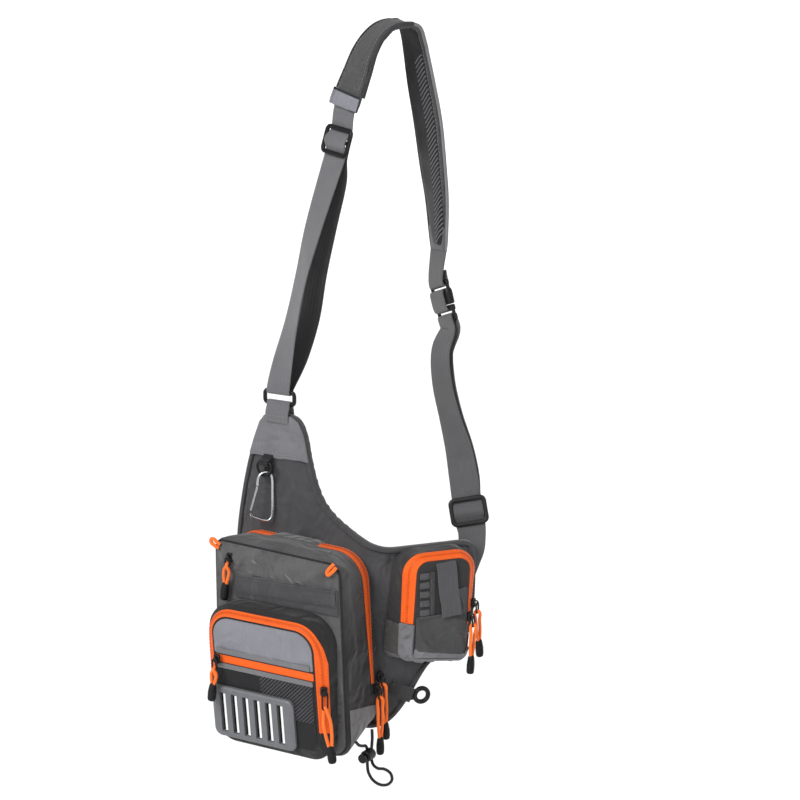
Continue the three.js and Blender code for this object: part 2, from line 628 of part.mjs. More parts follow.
// Tab and ring at the foot of the wing: a moulded eye whose lug is held by webbing
const EYE = { along: 31, out: 8, z: -206, radius: 12.5, hole: 5.6, thick: 6 };
const throughEye = (reach, radius, sides) => rod(
  vec(EYE.along, -EYE.out - reach, EYE.z), vec(EYE.along, -EYE.out + reach, EYE.z), radius, sides);
const eyeDisc = throughEye(EYE.thick / 2, EYE.radius, 20);
const eyeHole = throughEye(EYE.thick, EYE.hole, 16);
const eyeLug = block([EYE.along - 23, -EYE.out - 1.2, EYE.z - 5], [EYE.along - 9, -EYE.out + 1.2, EYE.z + 8]);
addPiece(wing, "net_ring", carve([eyeDisc, eyeLug], [eyeHole]), FINISH.blackPlastic);
const tabPath = [[-8, 1.8], [-3, 3.4], [2, 9], [6, 10.9], [17, 10.9]];
addPiece(wing, "ring_tab", ribbon(tabPath.map(([x, out]) => webStation(
  vec(x, -out, EYE.z + 3 + (x < 0 ? 2 : 0)), vec(0, 0, 1), 20, WEB.thickness))), FINISH.webbing);

// Drawcord with its lock, at the right foot of the main compartment: rows of x, y, z
const CORD = { radius: 1.7 };
const CORD_ROUTE = [
  [199.2, -76, -236], [200.5, -72, -241], [200.4, -62, -246], [200, -54, -249], [200, -50, -256],
  [200, -50, -266], [200, -50, -276], [201.5, -50, -286], [208, -50, -295], [219, -50, -299],
  [230, -50, -296], [236, -50, -288], [233.5, -50, -280], [225, -50, -276.5], [215, -50, -277.5],
  [208.5, -50, -274], [206, -50, -266], [206, -50, -256], [205.5, -48, -248], [202.5, -42, -243],
  [200, -38, -238], [199.2, -37, -233],
];
const cordPoints = CORD_ROUTE.map(([x, y, z]) => vec(x, y, z));
addPiece(body, "drawcord", cordAlong(smooth(cordPoints), CORD.radius, 60, 6), FINISH.blackPlastic);

const LOCK = { x: 203, z: -261, back: -45, front: -61, radius: 7.6, bore: 4.4, boreEnd: -54, hole: 2.8,
  strandY: -50, reach: 12 };
const lockAt = (y) => vec(LOCK.x, y, LOCK.z);
const strandHole = (x) => rod(
  vec(x, LOCK.strandY, LOCK.z - LOCK.reach), vec(x, LOCK.strandY, LOCK.z + LOCK.reach), LOCK.hole, 8);
const buttonBore = rod(lockAt(LOCK.boreEnd), lockAt(LOCK.front - 1), LOCK.bore, 12);
addPiece(body, "cord_lock", carve(
  [rod(lockAt(LOCK.back), lockAt(LOCK.front), LOCK.radius, 16)],
  [strandHole(LOCK.x - 3), strandHole(LOCK.x + 3), buttonBore],
), FINISH.blackPlastic);
const BUTTON = { stem: 3.8, stemEnd: -58.5, headBack: -65.2, headFront: -69, head: 6 };
addPiece(body, "lock_button", carve([
  rod(lockAt(BUTTON.stemEnd), lockAt(BUTTON.headBack - 0.5), BUTTON.stem, 12),
  rod(lockAt(BUTTON.headBack), lockAt(BUTTON.headFront), BUTTON.head, 16),
]), FINISH.blackPlastic);

// D-ring with the carabiner, under the peak patch
const DRING = { x: 26, y: -12.5, z: 86, wire: 1.5 };
const dringRows = [
  [-8.5, 0], [0, 0], [8.5, 0], [10.8, -4], [9.8, -10.5],
  [5.5, -15.4], [0, -17], [-5.5, -15.4], [-9.8, -10.5], [-10.8, -4],
];
addPiece(body, "d_ring", cordAlong(
  smooth(dringRows.map(([x, z]) => vec(DRING.x + x, DRING.y, DRING.z + z)), true), DRING.wire, 28, 6),
FINISH.blackPlastic);

// Rows of depth in front of the panel and height: the tab leaves the patch, goes round the bar and comes back
const TAB_WEB = { width: 14, thickness: 1.4 };
const dringTab = [
  [3.2, 106], [3.2, 98], [5, 93], [9.6, 89.6], [12.5, 89.2], [14.8, 88.3], [15.8, 86],
  [14.8, 83.7], [12.5, 82.8], [8, 82.2], [4, 80.2], [1.8, 77], [1.5, 70],
];
addPiece(body, "carabiner_tab", ribbon(dringTab.map(([depth, z]) => webStation(
  inFront(DRING.x, depth, z), vec(1, 0, 0), TAB_WEB.width, TAB_WEB.thickness))), FINISH.webbing);

// Carabiner in its own plane: rows of distance to the right and height; the plane is turned about z
const CARABINER = { turn: 45 * DEGREE, wire: 2, gateWire: 1.8, shift: 1.0 };
const onCarabiner = (right, z) => vec(
  DRING.x + (right + CARABINER.shift) * Math.cos(CARABINER.turn),
  DRING.y + (right + CARABINER.shift) * Math.sin(CARABINER.turn), z);
const carabinerRows = [
  [-10, 57], [-9.9, 62], [-8.2, 68.6], [-4.6, 72.6], [0, 74], [4.6, 72.6], [8.2, 68.6], [9.3, 62],
  [9, 44], [8.6, 26], [6, 16], [0, 11.2], [-7, 10.2], [-13, 13], [-15.6, 19],
];
addPiece(body, "carabiner", cordAlong(
  smooth(carabinerRows.map(([right, z]) => onCarabiner(right, z))), CARABINER.wire, 34, 8), FINISH.steel);
addPiece(body, "carabiner_gate",
  rod(onCarabiner(-10.2, 55.6), onCarabiner(-15.4, 22.6), CARABINER.gateWire, 8), FINISH.steel);

// Strap: rectangular ring on the panel's peak
const RING = { x: 40, y: 4, foot: 162, top: 179, half: 20.5, wire: 2.4 };
const ringRows = [
  [-17, RING.foot], [17, RING.foot], [20.5, RING.foot + 3.5], [20.5, RING.top - 3.5],
  [17, RING.top], [-17, RING.top], [-20.5, RING.top - 3.5], [-20.5, RING.foot + 3.5],
];
const ringCorners = ringRows.map(([x, z]) => {
  const middle = vec(RING.x, RING.y, (RING.foot + RING.top) / 2);
  const at = vec(RING.x + x * 1.08, RING.y, z);
  const side = Math.abs(x) > 20 ? vec(Math.sign(x), 0, 0) : vec(0, 0, Math.sign(z - middle.z));
  const out = side.add(vec(Math.sign(x) * 0.41, 0, Math.sign(z - middle.z) * 0.41)).setLength(RING.wire);
  return Array.from({ length: 8 }, (_, j) => {
    const turn = (2 * Math.PI * j) / 8;
    return at.clone().addScaledVector(out, Math.cos(turn)).add(vec(0, RING.wire * Math.sin(turn), 0));
  });
});
addPiece(body, "strap_ring", loft(ringCorners, true), FINISH.blackPlastic);

// Tab from the patch over the ring's lower bar and down behind the panel: rows of y and height
const wrapRadius = RING.wire + 2 * GAP + WEB.thickness / 2;
const wrapRound = (y, z, from, to, steps) => Array.from({ length: steps + 1 }, (_, i) => {
  const turn = (from + ((to - from) * i) / steps) * DEGREE;
  return [y + wrapRadius * Math.cos(turn), z + wrapRadius * Math.sin(turn)];
});
const peakTabRows = [
  [PATCH_FACE - GAP - 1.2, 139], [PATCH_FACE - GAP - 1.2, 152], [RING.y - wrapRadius, RING.foot - 2],
  ...wrapRound(RING.y, RING.foot, 180, 0, 4), [PANEL.thickness + 1.6, 152], [PANEL.thickness + 1.6, 130],
];
const RING_WEB_WIDTH = 34;
const ringStation = ([y, z]) => webStation(vec(RING.x, y, z), vec(1, 0, 0), RING_WEB_WIDTH);
addPiece(body, "peak_tab", ribbon(peakTabRows.map(ringStation)), FINISH.webbing);

// Tri-glide: a frame with a middle bar; the webbing goes behind its ends and over the bar
const GLIDE = { width: 48, length: 34, thick: 3.2, slotWidth: 41, bar: 5, corner: 5 };
function triGlide(axes) {
  const halfLength = GLIDE.length / 2;
  const shape = new THREE.Shape(outlineRing(
    rectangle(-GLIDE.width / 2, -halfLength, GLIDE.width / 2, halfLength, GLIDE.corner), 0, 4)
    .map((p) => new THREE.Vector2(p.x, p.z)));
  const slots = [[GLIDE.bar / 2, halfLength - GLIDE.bar], [-halfLength + GLIDE.bar, -GLIDE.bar / 2]];
  slots.forEach(([low, high]) => {
    const slot = outlineRing(rectangle(-GLIDE.slotWidth / 2, low, GLIDE.slotWidth / 2, high, 1.5), 0, 1);
    shape.holes.push(new THREE.Path(slot.map((p) => new THREE.Vector2(p.x, p.z))));
  });
  const frame = new THREE.ExtrudeGeometry(shape, { depth: GLIDE.thick, bevelEnabled: false });
  return frame.translate(0, 0, -GLIDE.thick / 2).applyMatrix4(axes.matrix);
}

// The webbing's way through a tri-glide: rows of distance down and out, from above to below
const GLIDE_THREAD = [[-17.5, -3.2], [-12, -3.2], [-2.5, 3.2], [2.5, 3.2], [12, -3.2], [17.5, -3.2]];

// Left webbing: from the shoulder pad through the tri-glide, down round the ring and back up
const leftGlide = fittingAxes(vec(91, 64, 493), vec(72, 41, 385), -15);
addPiece(body, "left_glide", triGlide(leftGlide), FINISH.blackPlastic);
const glideStations = (axes, rows) => rows.map(
  ([down, out]) => webStation(axes.point(0, down, out), axes.across));
const LEFT_RUN = [
  { x: 70, y: 40, z: 385, face: -26 },
  { x: 58, y: 30, z: 325, face: -37 },
  { x: 49, y: 19, z: 265, face: -34 },
  { x: 43, y: 7, z: 215, face: -18 },
];
const LEFT_RETURN = [
  { x: 46, y: 32, z: 215, face: -6 },
  { x: 54.5, y: 51, z: 265, face: -12 },
  { x: 65.5, y: 54, z: 325, face: -16 },
  { x: 77, y: 60, z: 385, face: -16 },
  { x: 88, y: 67, z: 445, face: -15 },
];
const runStations = (rows) => rows.map(({ x, y, z, face }) => webStation(vec(x, y, z), acrossFor(face)));
const leftWrap = wrapRound(RING.y, RING.top, 180, 360, 6)
  .map(ringStation);
addPiece(body, "left_webbing", ribbon([
  webStation(leftGlide.point(0, -34, 0), leftGlide.across),
  ...glideStations(leftGlide, GLIDE_THREAD),
  ...runStations(LEFT_RUN),
  ...leftWrap,
  ...runStations(LEFT_RETURN),
  ...glideStations(leftGlide, [[20, -7], [8, -6.4]]),
]), FINISH.webbing);

// Padded shoulder strap: rows of its middle, face azimuth, width and thickness
const PAD_ROWS = [
  { x: 98.6, y: 69.4, z: 529, face: -15, width: 55, thick: 8 },
  { x: 103, y: 73, z: 547, face: -17, width: 57, thick: 12 },
  { x: 112, y: 80, z: 578, face: -22, width: 57, thick: 12 },
  { x: 119, y: 86.5, z: 603, face: -27, width: 57, thick: 12 },
  { x: 128, y: 94.5, z: 622, face: -31, width: 57, thick: 12 },
  { x: 139, y: 103.5, z: 634, face: -34, width: 57, thick: 12 },
  { x: 152, y: 114, z: 638, face: -36, width: 57, thick: 12 },
  { x: 158, y: 127, z: 634, face: -35, width: 57, thick: 12 },
  { x: 158, y: 139, z: 619, face: -31, width: 57, thick: 12 },
  { x: 157, y: 149, z: 597, face: -27, width: 57, thick: 12 },
  { x: 159, y: 159, z: 556, face: -22, width: 57, thick: 12 },
  { x: 164, y: 166, z: 511, face: -21, width: 57, thick: 12 },
  { x: 169, y: 171, z: 454, face: -23, width: 55, thick: 12 },
  { x: 173, y: 174, z: 411, face: -26, width: 51, thick: 12 },
  { x: 174.4, y: 176, z: 364, face: -27, width: 42, thick: 11 },
  { x: 174.8, y: 176.2, z: 346, face: -27, width: 37, thick: 7 },
];
const PAD_BEVEL = 2.6;
const padMiddles = new THREE.CatmullRomCurve3(
  PAD_ROWS.map(({ x, y, z }) => vec(x, y, z)), false, "catmullrom");
const padSizes = new THREE.CatmullRomCurve3(
  PAD_ROWS.map(({ face, width, thick }) => vec(face, width, thick)), false, "catmullrom");
const padStation = (share) => {
  const size = padSizes.getPoint(share);
  return { at: padMiddles.getPoint(share), across: acrossFor(size.x), width: size.y, thickness: size.z };
};
const PAD_STEPS = 45;
addPiece(body, "shoulder_pad",
  ribbon(Array.from({ length: PAD_STEPS + 1 }, (_, i) => padStation(i / PAD_STEPS)), PAD_BEVEL),
  FINISH.darkCloth);

// Light grey patch on the pad's front end, on its visible face
const PAD_PATCH = { lift: 1.2, thickness: 1.4, shares: [0, 0.018, 0.036, 0.054, 0.07] };
addPiece(body, "pad_patch", ribbon(PAD_PATCH.shares.map((share) => {
  const station = padStation(share);
  const ahead = padMiddles.getPoint(share + 0.01).sub(padMiddles.getPoint(share)).normalize();
  const out = station.across.clone().cross(ahead).normalize();
  const reach = station.thickness / 2 + PAD_PATCH.lift + PAD_PATCH.thickness / 2;
  return webStation(station.at.clone().addScaledVector(out, reach), station.across, station.width - 4,
    PAD_PATCH.thickness);
})), FINISH.lightCloth);

// Side-release buckle, fastened: rows are in its own axes, across, up and out
const buckle = fittingAxes(vec(183, 174, 280), vec(192, 172, 254), -29);
const BUCKLE = { half: 22, out: 6.5, barOut: 2.2, barEnd: 27, slotEnd: 21, slotStart: 14, slotHalf: 20 };
const socketSolid = carve([
  block([-BUCKLE.half, -6, -BUCKLE.out], [BUCKLE.half, 15, BUCKLE.out]),
  block([-BUCKLE.half, 12, -BUCKLE.barOut], [BUCKLE.half, BUCKLE.barEnd, BUCKLE.barOut]),
], [
  block([-BUCKLE.slotHalf, BUCKLE.slotStart, -9], [BUCKLE.slotHalf, BUCKLE.slotEnd, 9]),
  block([-19, -7, -4], [19, 9, 4]),
  block([-24, -3, -3.5], [-17, 6, 3.5]),
  block([17, -3, -3.5], [24, 6, 3.5]),
]);
addPiece(body, "buckle_socket", socketSolid.applyMatrix4(buckle.matrix), FINISH.blackPlastic);
const tongueSolid = carve([
  block([-BUCKLE.half + 1, -15, -5.6], [BUCKLE.half - 1, -7, 5.6]),
  block([-BUCKLE.half + 1, -BUCKLE.barEnd, -BUCKLE.barOut], [BUCKLE.half - 1, -12, BUCKLE.barOut]),
  block([-18, -8, -3.2], [-12, 6, 3.2]),
  block([12, -8, -3.2], [18, 6, 3.2]),
  block([-20.6, -1, -2.8], [-17, 4, 2.8]),
  block([17, -1, -2.8], [20.6, 4, 2.8]),
  block([-3, -8, -2.4], [3, 7, 2.4]),
], [block([-BUCKLE.slotHalf + 1, -BUCKLE.slotEnd, -9], [BUCKLE.slotHalf - 1, -BUCKLE.slotStart, 9])]);
addPiece(body, "buckle_tongue", tongueSolid.applyMatrix4(buckle.matrix), FINISH.blackPlastic);

// The webbing's way round a buckle bar: rows of distance from the buckle's middle and out
const BAR_WRAP = [[28, 3.9], [20, 3.9], [19, 2.4], [18.2, 0], [19, -2.4], [20, -3.9], [28, -3.9]];
const barStations = (side, rows) => rows.map(([away, out]) => webStation(
  buckle.point(0, away * side, out), buckle.across, 36));
const padEnd = padStation(1);
const padEndDown = vec(0, -0.1, -1).normalize();
addPiece(body, "upper_webbing", ribbon([
  webStation(padEnd.at.clone().addScaledVector(padEndDown, 1.6), padEnd.across, 36),
  ...barStations(-1, BAR_WRAP),
  ...barStations(-1, [[38, -4.6]]),
]), FINISH.webbing);

// Right webbing: from the back of the wing through the tri-glide, up round the buckle's bar and back down
const rightGlide = fittingAxes(vec(249, 124, 20), vec(257, 119, -6), 28);
addPiece(body, "right_glide", triGlide(rightGlide), FINISH.blackPlastic);
const RIGHT_TAIL = [
  { along: 298, back: PANEL.thickness + 1.8, z: -66, face: 50 },
  { along: 308, back: PANEL.thickness + 2, z: -42, face: 50 },
  { along: 315, back: PANEL.thickness + 3.6, z: -24, face: 47 },
  { along: 319, back: PANEL.thickness + 11, z: -7, face: 38 },
];
const RIGHT_RUN = [
  { x: 235, y: 136, z: 58, face: 16 },
  { x: 222, y: 146, z: 92, face: 0 },
  { x: 204, y: 154, z: 133, face: -16 },
  { x: 188, y: 162, z: 175, face: -20 },
  { x: 182.5, y: 168, z: 214, face: -24 },
];
const RIGHT_RETURN = [
  { x: 183, y: 177, z: 214, face: -24 },
  { x: 188.5, y: 170, z: 175, face: -20 },
  { x: 204, y: 161, z: 133, face: -16 },
  { x: 221, y: 153, z: 92, face: 0 },
  { x: 233, y: 144, z: 58, face: 16 },
];
addPiece(body, "right_webbing", ribbon([
  ...RIGHT_TAIL.map(({ along, back, z, face }) => webStation(onPanel(along, back, z), acrossFor(face), 36)),
  ...glideStations(rightGlide, GLIDE_THREAD.slice().reverse()),
  ...runStations(RIGHT_RUN),
  ...barStations(1, [[37, 3.9], ...BAR_WRAP, [37, -4.2]]),
  ...runStations(RIGHT_RETURN),
  ...glideStations(rightGlide, [[-20, -7.4], [-8, -6.8]]),
]), FINISH.webbing);

export default pack;
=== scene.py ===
"""Dresses a fishing sling pack: cloth, webbing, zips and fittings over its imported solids.

Sizes are millimetres in the pack's own frame: x to the right along the main compartment,
y towards the wearer, z up, with z = 0 at the main compartment's top front edge and y = 0 at
the front of the back panel. in_frame() turns them into the metres of the shared frame.
"""

import logging
from collections.abc import Callable, Sequence
from dataclasses import dataclass, field
from enum import Enum

import bmesh
import bpy
import numpy as np
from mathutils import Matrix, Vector
from mathutils.bvhtree import BVHTree

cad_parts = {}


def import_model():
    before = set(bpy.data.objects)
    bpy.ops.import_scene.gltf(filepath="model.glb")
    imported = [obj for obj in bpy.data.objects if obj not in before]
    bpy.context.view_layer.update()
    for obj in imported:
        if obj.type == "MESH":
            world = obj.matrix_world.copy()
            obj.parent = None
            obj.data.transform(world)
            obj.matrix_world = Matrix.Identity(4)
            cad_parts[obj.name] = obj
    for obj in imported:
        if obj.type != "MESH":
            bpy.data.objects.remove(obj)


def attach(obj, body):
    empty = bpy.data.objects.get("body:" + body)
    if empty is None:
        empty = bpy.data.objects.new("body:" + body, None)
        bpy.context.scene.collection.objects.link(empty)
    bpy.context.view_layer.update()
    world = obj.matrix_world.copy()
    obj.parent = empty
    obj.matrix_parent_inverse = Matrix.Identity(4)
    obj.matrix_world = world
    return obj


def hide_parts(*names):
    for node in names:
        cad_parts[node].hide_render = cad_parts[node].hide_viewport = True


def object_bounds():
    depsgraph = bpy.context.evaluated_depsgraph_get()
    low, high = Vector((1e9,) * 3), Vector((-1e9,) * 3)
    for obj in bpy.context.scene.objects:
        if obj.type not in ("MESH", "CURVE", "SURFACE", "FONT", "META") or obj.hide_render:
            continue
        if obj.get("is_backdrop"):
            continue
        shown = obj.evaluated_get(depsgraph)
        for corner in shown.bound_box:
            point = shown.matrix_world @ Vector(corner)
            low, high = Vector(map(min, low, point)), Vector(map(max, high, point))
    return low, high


LOG = logging.getLogger("sling_pack")
Array = np.ndarray
Place = Callable[[Array, Array, Array], Array]
Tree = bpy.types.NodeTree
Socket = bpy.types.NodeSocket
Mesh = bpy.types.Mesh
Thing = bpy.types.Object

MM = 0.001
HANG = np.array((152.0, 114.0, 632.0))
PACK = "pack"
FLAT = "flat"
SHARP = np.radians(38)
TAU = 2 * np.pi
FORWARD = (0, -1, 0)
RIGHT = (1, 0, 0)
WEB_WIDTH = 38.0
NARROW_WEB = 36.0


# Points and paths


def in_frame(points: Array) -> Array:
    """Pack millimetres as metres from the hang point."""
    return (np.asarray(points, float) - HANG) * MM


def unit(vectors: Array) -> Array:
    """Vectors divided by their lengths."""
    return vectors / np.maximum(np.linalg.norm(vectors, axis=-1, keepdims=True), 1e-9)


def dot(a: Array, b: Array) -> Array:
    """Dot products over the last axis, which is kept."""
    return (a * b).sum(-1, keepdims=True)


def stacked(*columns: Array | float) -> Array:
    """Columns broadcast together and joined as the last axis."""
    return np.stack(np.broadcast_arrays(*columns), -1)


def rising(value: Array, start: float, end: float) -> Array:
    """Straight ramp from 0 at start to 1 at end, level beyond both."""
    return np.clip((value - start) / (end - start), 0, 1)


def spline(rows: Sequence, per: int = 8, closed: bool = False, even_knots: bool = False) -> Array:
    """Catmull-Rom curve: each span is a cubic that meets its ends along the chords beside them.

    Args:
        rows: points (n, k) whose first three columns are a place; the others follow along.
        per: steps in each span.
        closed: whether the last point joins the first.
        even_knots: knots one apart, where they are otherwise the square root of the chord apart.

    Returns:
        Points (m, k); a closed curve ends on its first point.
    """
    p = np.asarray(rows, float)
    before, after = (p[-1:], p[:2]) if closed else (2 * p[:1] - p[1:2], 2 * p[-1:] - p[-2:-1])
    run = np.concatenate([before, p, after])
    gaps = np.linalg.norm(np.diff(run[:, :3], axis=0), axis=1)[:, None]
    knot = np.ones_like(gaps) if even_knots else np.sqrt(np.maximum(gaps, 1e-6))
    p0, p1, p2, p3 = run[:-3], run[1:-2], run[2:-1], run[3:]
    k0, k1, k2 = knot[:-2], knot[1:-1], knot[2:]
    leave = k1 * ((p1 - p0) / k0 - (p2 - p0) / (k0 + k1) + (p2 - p1) / k1)
    meet = k1 * ((p2 - p1) / k1 - (p3 - p1) / (k1 + k2) + (p3 - p2) / k2)
    t = np.linspace(0, 1, per, endpoint=False)[None, :, None]
    a, b, c, d = (v[:, None] for v in (p1, p2, leave, meet))
    h = 2 * t**3 - 3 * t**2 + 1
    curve = h * a + (1 - h) * b + (t**3 - 2 * t**2 + t) * c + (t**3 - t**2) * d
    return np.concatenate([curve.reshape(-1, p.shape[1]), p[:1] if closed else p[-1:]])


def lengths(path: Array) -> Array:
    """Distance along a path at each of its points."""
    steps = np.linalg.norm(np.diff(path[:, :3], axis=0), axis=1)
    return np.concatenate([[0.0], np.cumsum(steps)])


def even(path: Array, count: int) -> Array:
    """A path read again at equal steps of its length, all columns by straight interpolation."""
    run = lengths(path)
    at = np.linspace(0, run[-1], count)
    return np.stack([np.interp(at, run, column) for column in path.T], -1)


def tangents(path: Array, closed: bool = False) -> Array:
    """Unit directions along a path, from the points before and after each one."""
    if closed:
        ring = np.concatenate([path[-2:-1], path, path[1:2]])
        return unit(ring[2:] - ring[:-2])
    return unit(np.gradient(path, axis=0))


def carried_frames(path: Array, closed: bool = False) -> tuple[Array, Array]:
    """Side and up directions that follow a path without twisting about it.

    Each frame starts from the axis that the path is least along; the turn between a frame and the one
    before it, carried over the bend between them, is summed up and taken out again.

    Args:
        path: points (n, 3).
        closed: whether the path ends on its first point.

    Returns:
        Two arrays (n, 3) of unit vectors.
    """
    along = tangents(path, closed)
    side = unit(np.cross(along, np.eye(3)[np.argmin(np.abs(along), axis=1)]))
    up = np.cross(along, side)
    bend = np.cross(along[:-1], along[1:])
    cosine = dot(along[:-1], along[1:])
    moved = side[:-1] * cosine + np.cross(bend, side[:-1]) + bend * dot(bend, side[:-1]) / (1 + cosine)
    step = np.arctan2(dot(moved, up[1:]), dot(moved, side[1:]))
    turn = np.concatenate([[[0.0]], np.cumsum(step, axis=0)])
    side = side * np.cos(turn) + up * np.sin(turn)
    return side, np.cross(along, side)


# Surfaces


@dataclass
class Surface:
    """A grid of points (..., rows, columns, 3) and the flat place of each (..., rows, columns, 2), in mm."""

    points: Array
    flat: Array


def oval(width: float, thick: float, square: float = 2.0, count: int = 24) -> Array:
    """Closed section: cosine and sine to the power 2 / square; 2 is an ellipse and more is boxy."""
    turn = np.linspace(0, TAU, count + 1)
    c, s = np.cos(turn), np.sin(turn)
    power = 2 / square
    return stacked(np.sign(c) * np.abs(c) ** power * width / 2, np.sign(s) * np.abs(s) ** power * thick / 2)


def sweep(path: Array, section: Array, across: Array | None = None, closed: bool = False) -> Surface:
    """A closed section carried along a path: point = path + side * a + out * o. Open ends are closed.

    Args:
        path: points (n, 3).
        section: closed loop (m, 2), or one for each point of the path (n, m, 2).
        across: rough direction of the section's first axis at each point; without it the frame is carried.
        closed: whether the path ends on its first point.

    Returns:
        The surface, whose flat place is distance round the section and distance along the path.
    """
    if across is None:
        side, out = carried_frames(path, closed)
    else:
        along = tangents(path, closed)
        across = np.broadcast_to(across, path.shape)
        side = unit(across - along * dot(across, along))
        out = np.cross(along, side)
    section = np.broadcast_to(section, (len(path),) + section.shape[-2:])
    points = path[:, None] + side[:, None] * section[..., :1] + out[:, None] * section[..., 1:]
    flat = stacked(lengths(section[len(path) // 2])[None, :], lengths(path)[:, None])
    if not closed:
        ends = np.broadcast_to(points.mean(1, keepdims=True), points.shape)
        points = np.concatenate([ends[:1], points, ends[-1:]])
        flat = np.concatenate([flat[:1], flat, flat[-1:]])
    return Surface(points, flat)


def cord(path: Array, thick: float, steps: int, closed: bool = False) -> Surface:
    """A round cord or wire along a path."""
    return sweep(path, oval(thick, thick, 2, steps), None, closed)


def normals(points: Array, facing: Sequence[float] | None = None) -> Array:
    """Unit normals of a grid from its row and column steps, towards facing or else away from its middle."""
    normal = unit(np.cross(np.gradient(points, axis=1), np.gradient(points, axis=0)))
    away = points - points.mean((0, 1)) if facing is None else np.asarray(facing, float)
    return normal * np.sign((normal * away).sum())


def slab(points: Array, lift: float, thick: float | Array, facing: Sequence[float] | None = None,
         flat: Array | None = None) -> Surface:
    """A piece of cloth on a grid: the grid raised by lift and by lift + thick, joined round the edge.

    Args:
        points: grid (rows, columns, 3).
        lift: height of the inner skin above the grid.
        thick: thickness, one number or a grid of them (rows, 1) or (rows, columns).
        facing: the side that the outer skin is on.
        flat: flat place of each grid point; without it distance along the middle row and column.

    Returns:
        The closed surface.
    """
    normal = normals(points, facing)
    height = np.broadcast_to(np.asarray(thick, float), points.shape[:2])[..., None]
    inner = points + normal * lift
    outer = inner + normal * height
    if flat is None:
        down = lengths(points[:, points.shape[1] // 2])
        flat = stacked(down[:, None], lengths(points[points.shape[0] // 2])[None, :])

    def ring(over: Array, under: Array) -> Array:
        """Over the outer skin, back under the inner one, and to the start."""
        return np.concatenate([over, under[::-1], over[:1]]).swapaxes(0, 1)

    skin = ring(outer, inner)
    middle = ring((inner + outer) / 2, (inner + outer) / 2)
    laid = ring(flat, flat)
    points = np.concatenate([middle[:1], skin, middle[-1:]])
    return Surface(points, np.concatenate([laid[:1], laid, laid[-1:]]))


def dashes(middles: Array, way: Array, up: Array, size: tuple[float, float, float]) -> Surface:
    """A batch of small rounded bars: circles whose radius is the root of one minus the share squared.

    Args:
        middles: centres (k, 3).
        way: unit directions along the bars (k, 3).
        up: unit directions out of the cloth (k, 3).
        size: length, width and height.

    Returns:
        A surface with one grid for each bar.
    """
    share = np.array((-1.0, -0.8, 0.0, 0.8, 1.0))[:, None]
    swell = np.sqrt(1 - share**2)
    turn = np.linspace(0, TAU, 7)[None, :]
    a, b, c = np.broadcast_arrays(share * size[0] / 2, swell * np.cos(turn) * size[1] / 2,
                                  swell * np.sin(turn) * size[2] / 2)
    way, up, middles = (np.broadcast_to(v, middles.shape)[:, None, None] for v in (way, up, middles))
    points = middles + a[..., None] * way + b[..., None] * np.cross(up, way) + c[..., None] * up
    flat = np.broadcast_to(stacked(turn, share * size[0] / 2), points.shape[:-1] + (2,))
    return Surface(points, flat)


STITCH = (3.2, 0.75, 0.7)
STITCH_PITCH = 4.6


def stitches(line: Array, up: Array, closed: bool = False) -> Surface:
    """Lockstitches in a row: one dash for each pitch along a line, along the line's own direction.

    Args:
        line: points (n, 3) on the cloth's face.
        up: unit normals there, (n, 3) or one for all.
        closed: whether the line ends on its first point.

    Returns:
        The batch of dashes.
    """
    both = np.concatenate([line, np.broadcast_to(up, line.shape)], axis=1)
    count = max(int(lengths(line)[-1] / STITCH_PITCH), 2)
    laid = even(both, count + 1)
    laid = laid[:-1] if closed else laid
    way = tangents(laid[:, :3])
    return dashes(laid[:, :3], way, unit(laid[:, 3:] - way * dot(laid[:, 3:], way)), STITCH)


@dataclass(frozen=True)
class Fold:
    """A soft ridge in cloth along a line: its height falls off as exp(-(distance / width) squared)."""

    start: tuple[float, float]
    end: tuple[float, float]
    width: float
    height: float

    def at(self, flat: Array) -> Array:
        """Height of the ridge at flat places (..., 2)."""
        start, end = np.array(self.start), np.array(self.end)
        line = end - start
        share = np.clip((flat - start) @ line / (line @ line), 0, 1)
        away = np.linalg.norm(flat - start - share[..., None] * line, axis=-1)
        return self.height * np.exp(-((away / self.width) ** 2))


@dataclass(frozen=True)
class Crumple:
    """Creases in slack cloth: rounded ridges (1 - |sin|) squared on three slants, bent by slow sines."""

    wave: float
    height: float

    def at(self, flat: Array) -> Array:
        """Height of the creases at flat places (..., 2)."""
        x, z = flat[..., 0] / self.wave, flat[..., 1] / self.wave
        total = np.zeros(x.shape)
        for turn, shift in ((0.45, 0.0), (1.35, 1.7), (2.55, 4.1)):
            along, aside = x * np.cos(turn) + z * np.sin(turn), z * np.cos(turn) - x * np.sin(turn)
            wave = np.sin(aside + 0.8 * np.sin(along / 1.9 + shift) + shift)
            ridge = np.maximum(1.02 - np.sqrt(wave**2 + 0.03), 0)
            total += ridge**2 * np.clip(np.sin(along / 1.3 + 0.7 * np.sin(aside / 2.1) + 2 * shift), 0, 1)
        return self.height * total


def turned(profile: Array, base: Array, axis: Array, across: Array, press: float = 1.0,
           count: int = 20) -> Surface:
    """A turned shape: circles of the profile's radius round an axis, pressed narrower one way.

    Args:
        profile: rows of radius and distance along the axis.
        base: the place of distance 0.
        axis: unit direction of the axis.
        across: direction that keeps its full width.
        press: width of the other direction, as a share.
        count: steps round the circle.

    Returns:
        The surface, closed where the profile meets the axis.
    """
    rows = np.asarray(profile, float)
    turn = np.linspace(0, TAU, count + 1)[None, :]
    side = unit(across - axis * (across @ axis))
    other = np.cross(axis, side) * press
    radius, reach = rows[:, :1, None], rows[:, 1:, None]
    circle = side * np.cos(turn)[..., None] + other * np.sin(turn)[..., None]
    points = base + axis * reach + radius * circle
    return Surface(points, stacked(turn * rows[:, 0].max(), rows[:, 1:]))


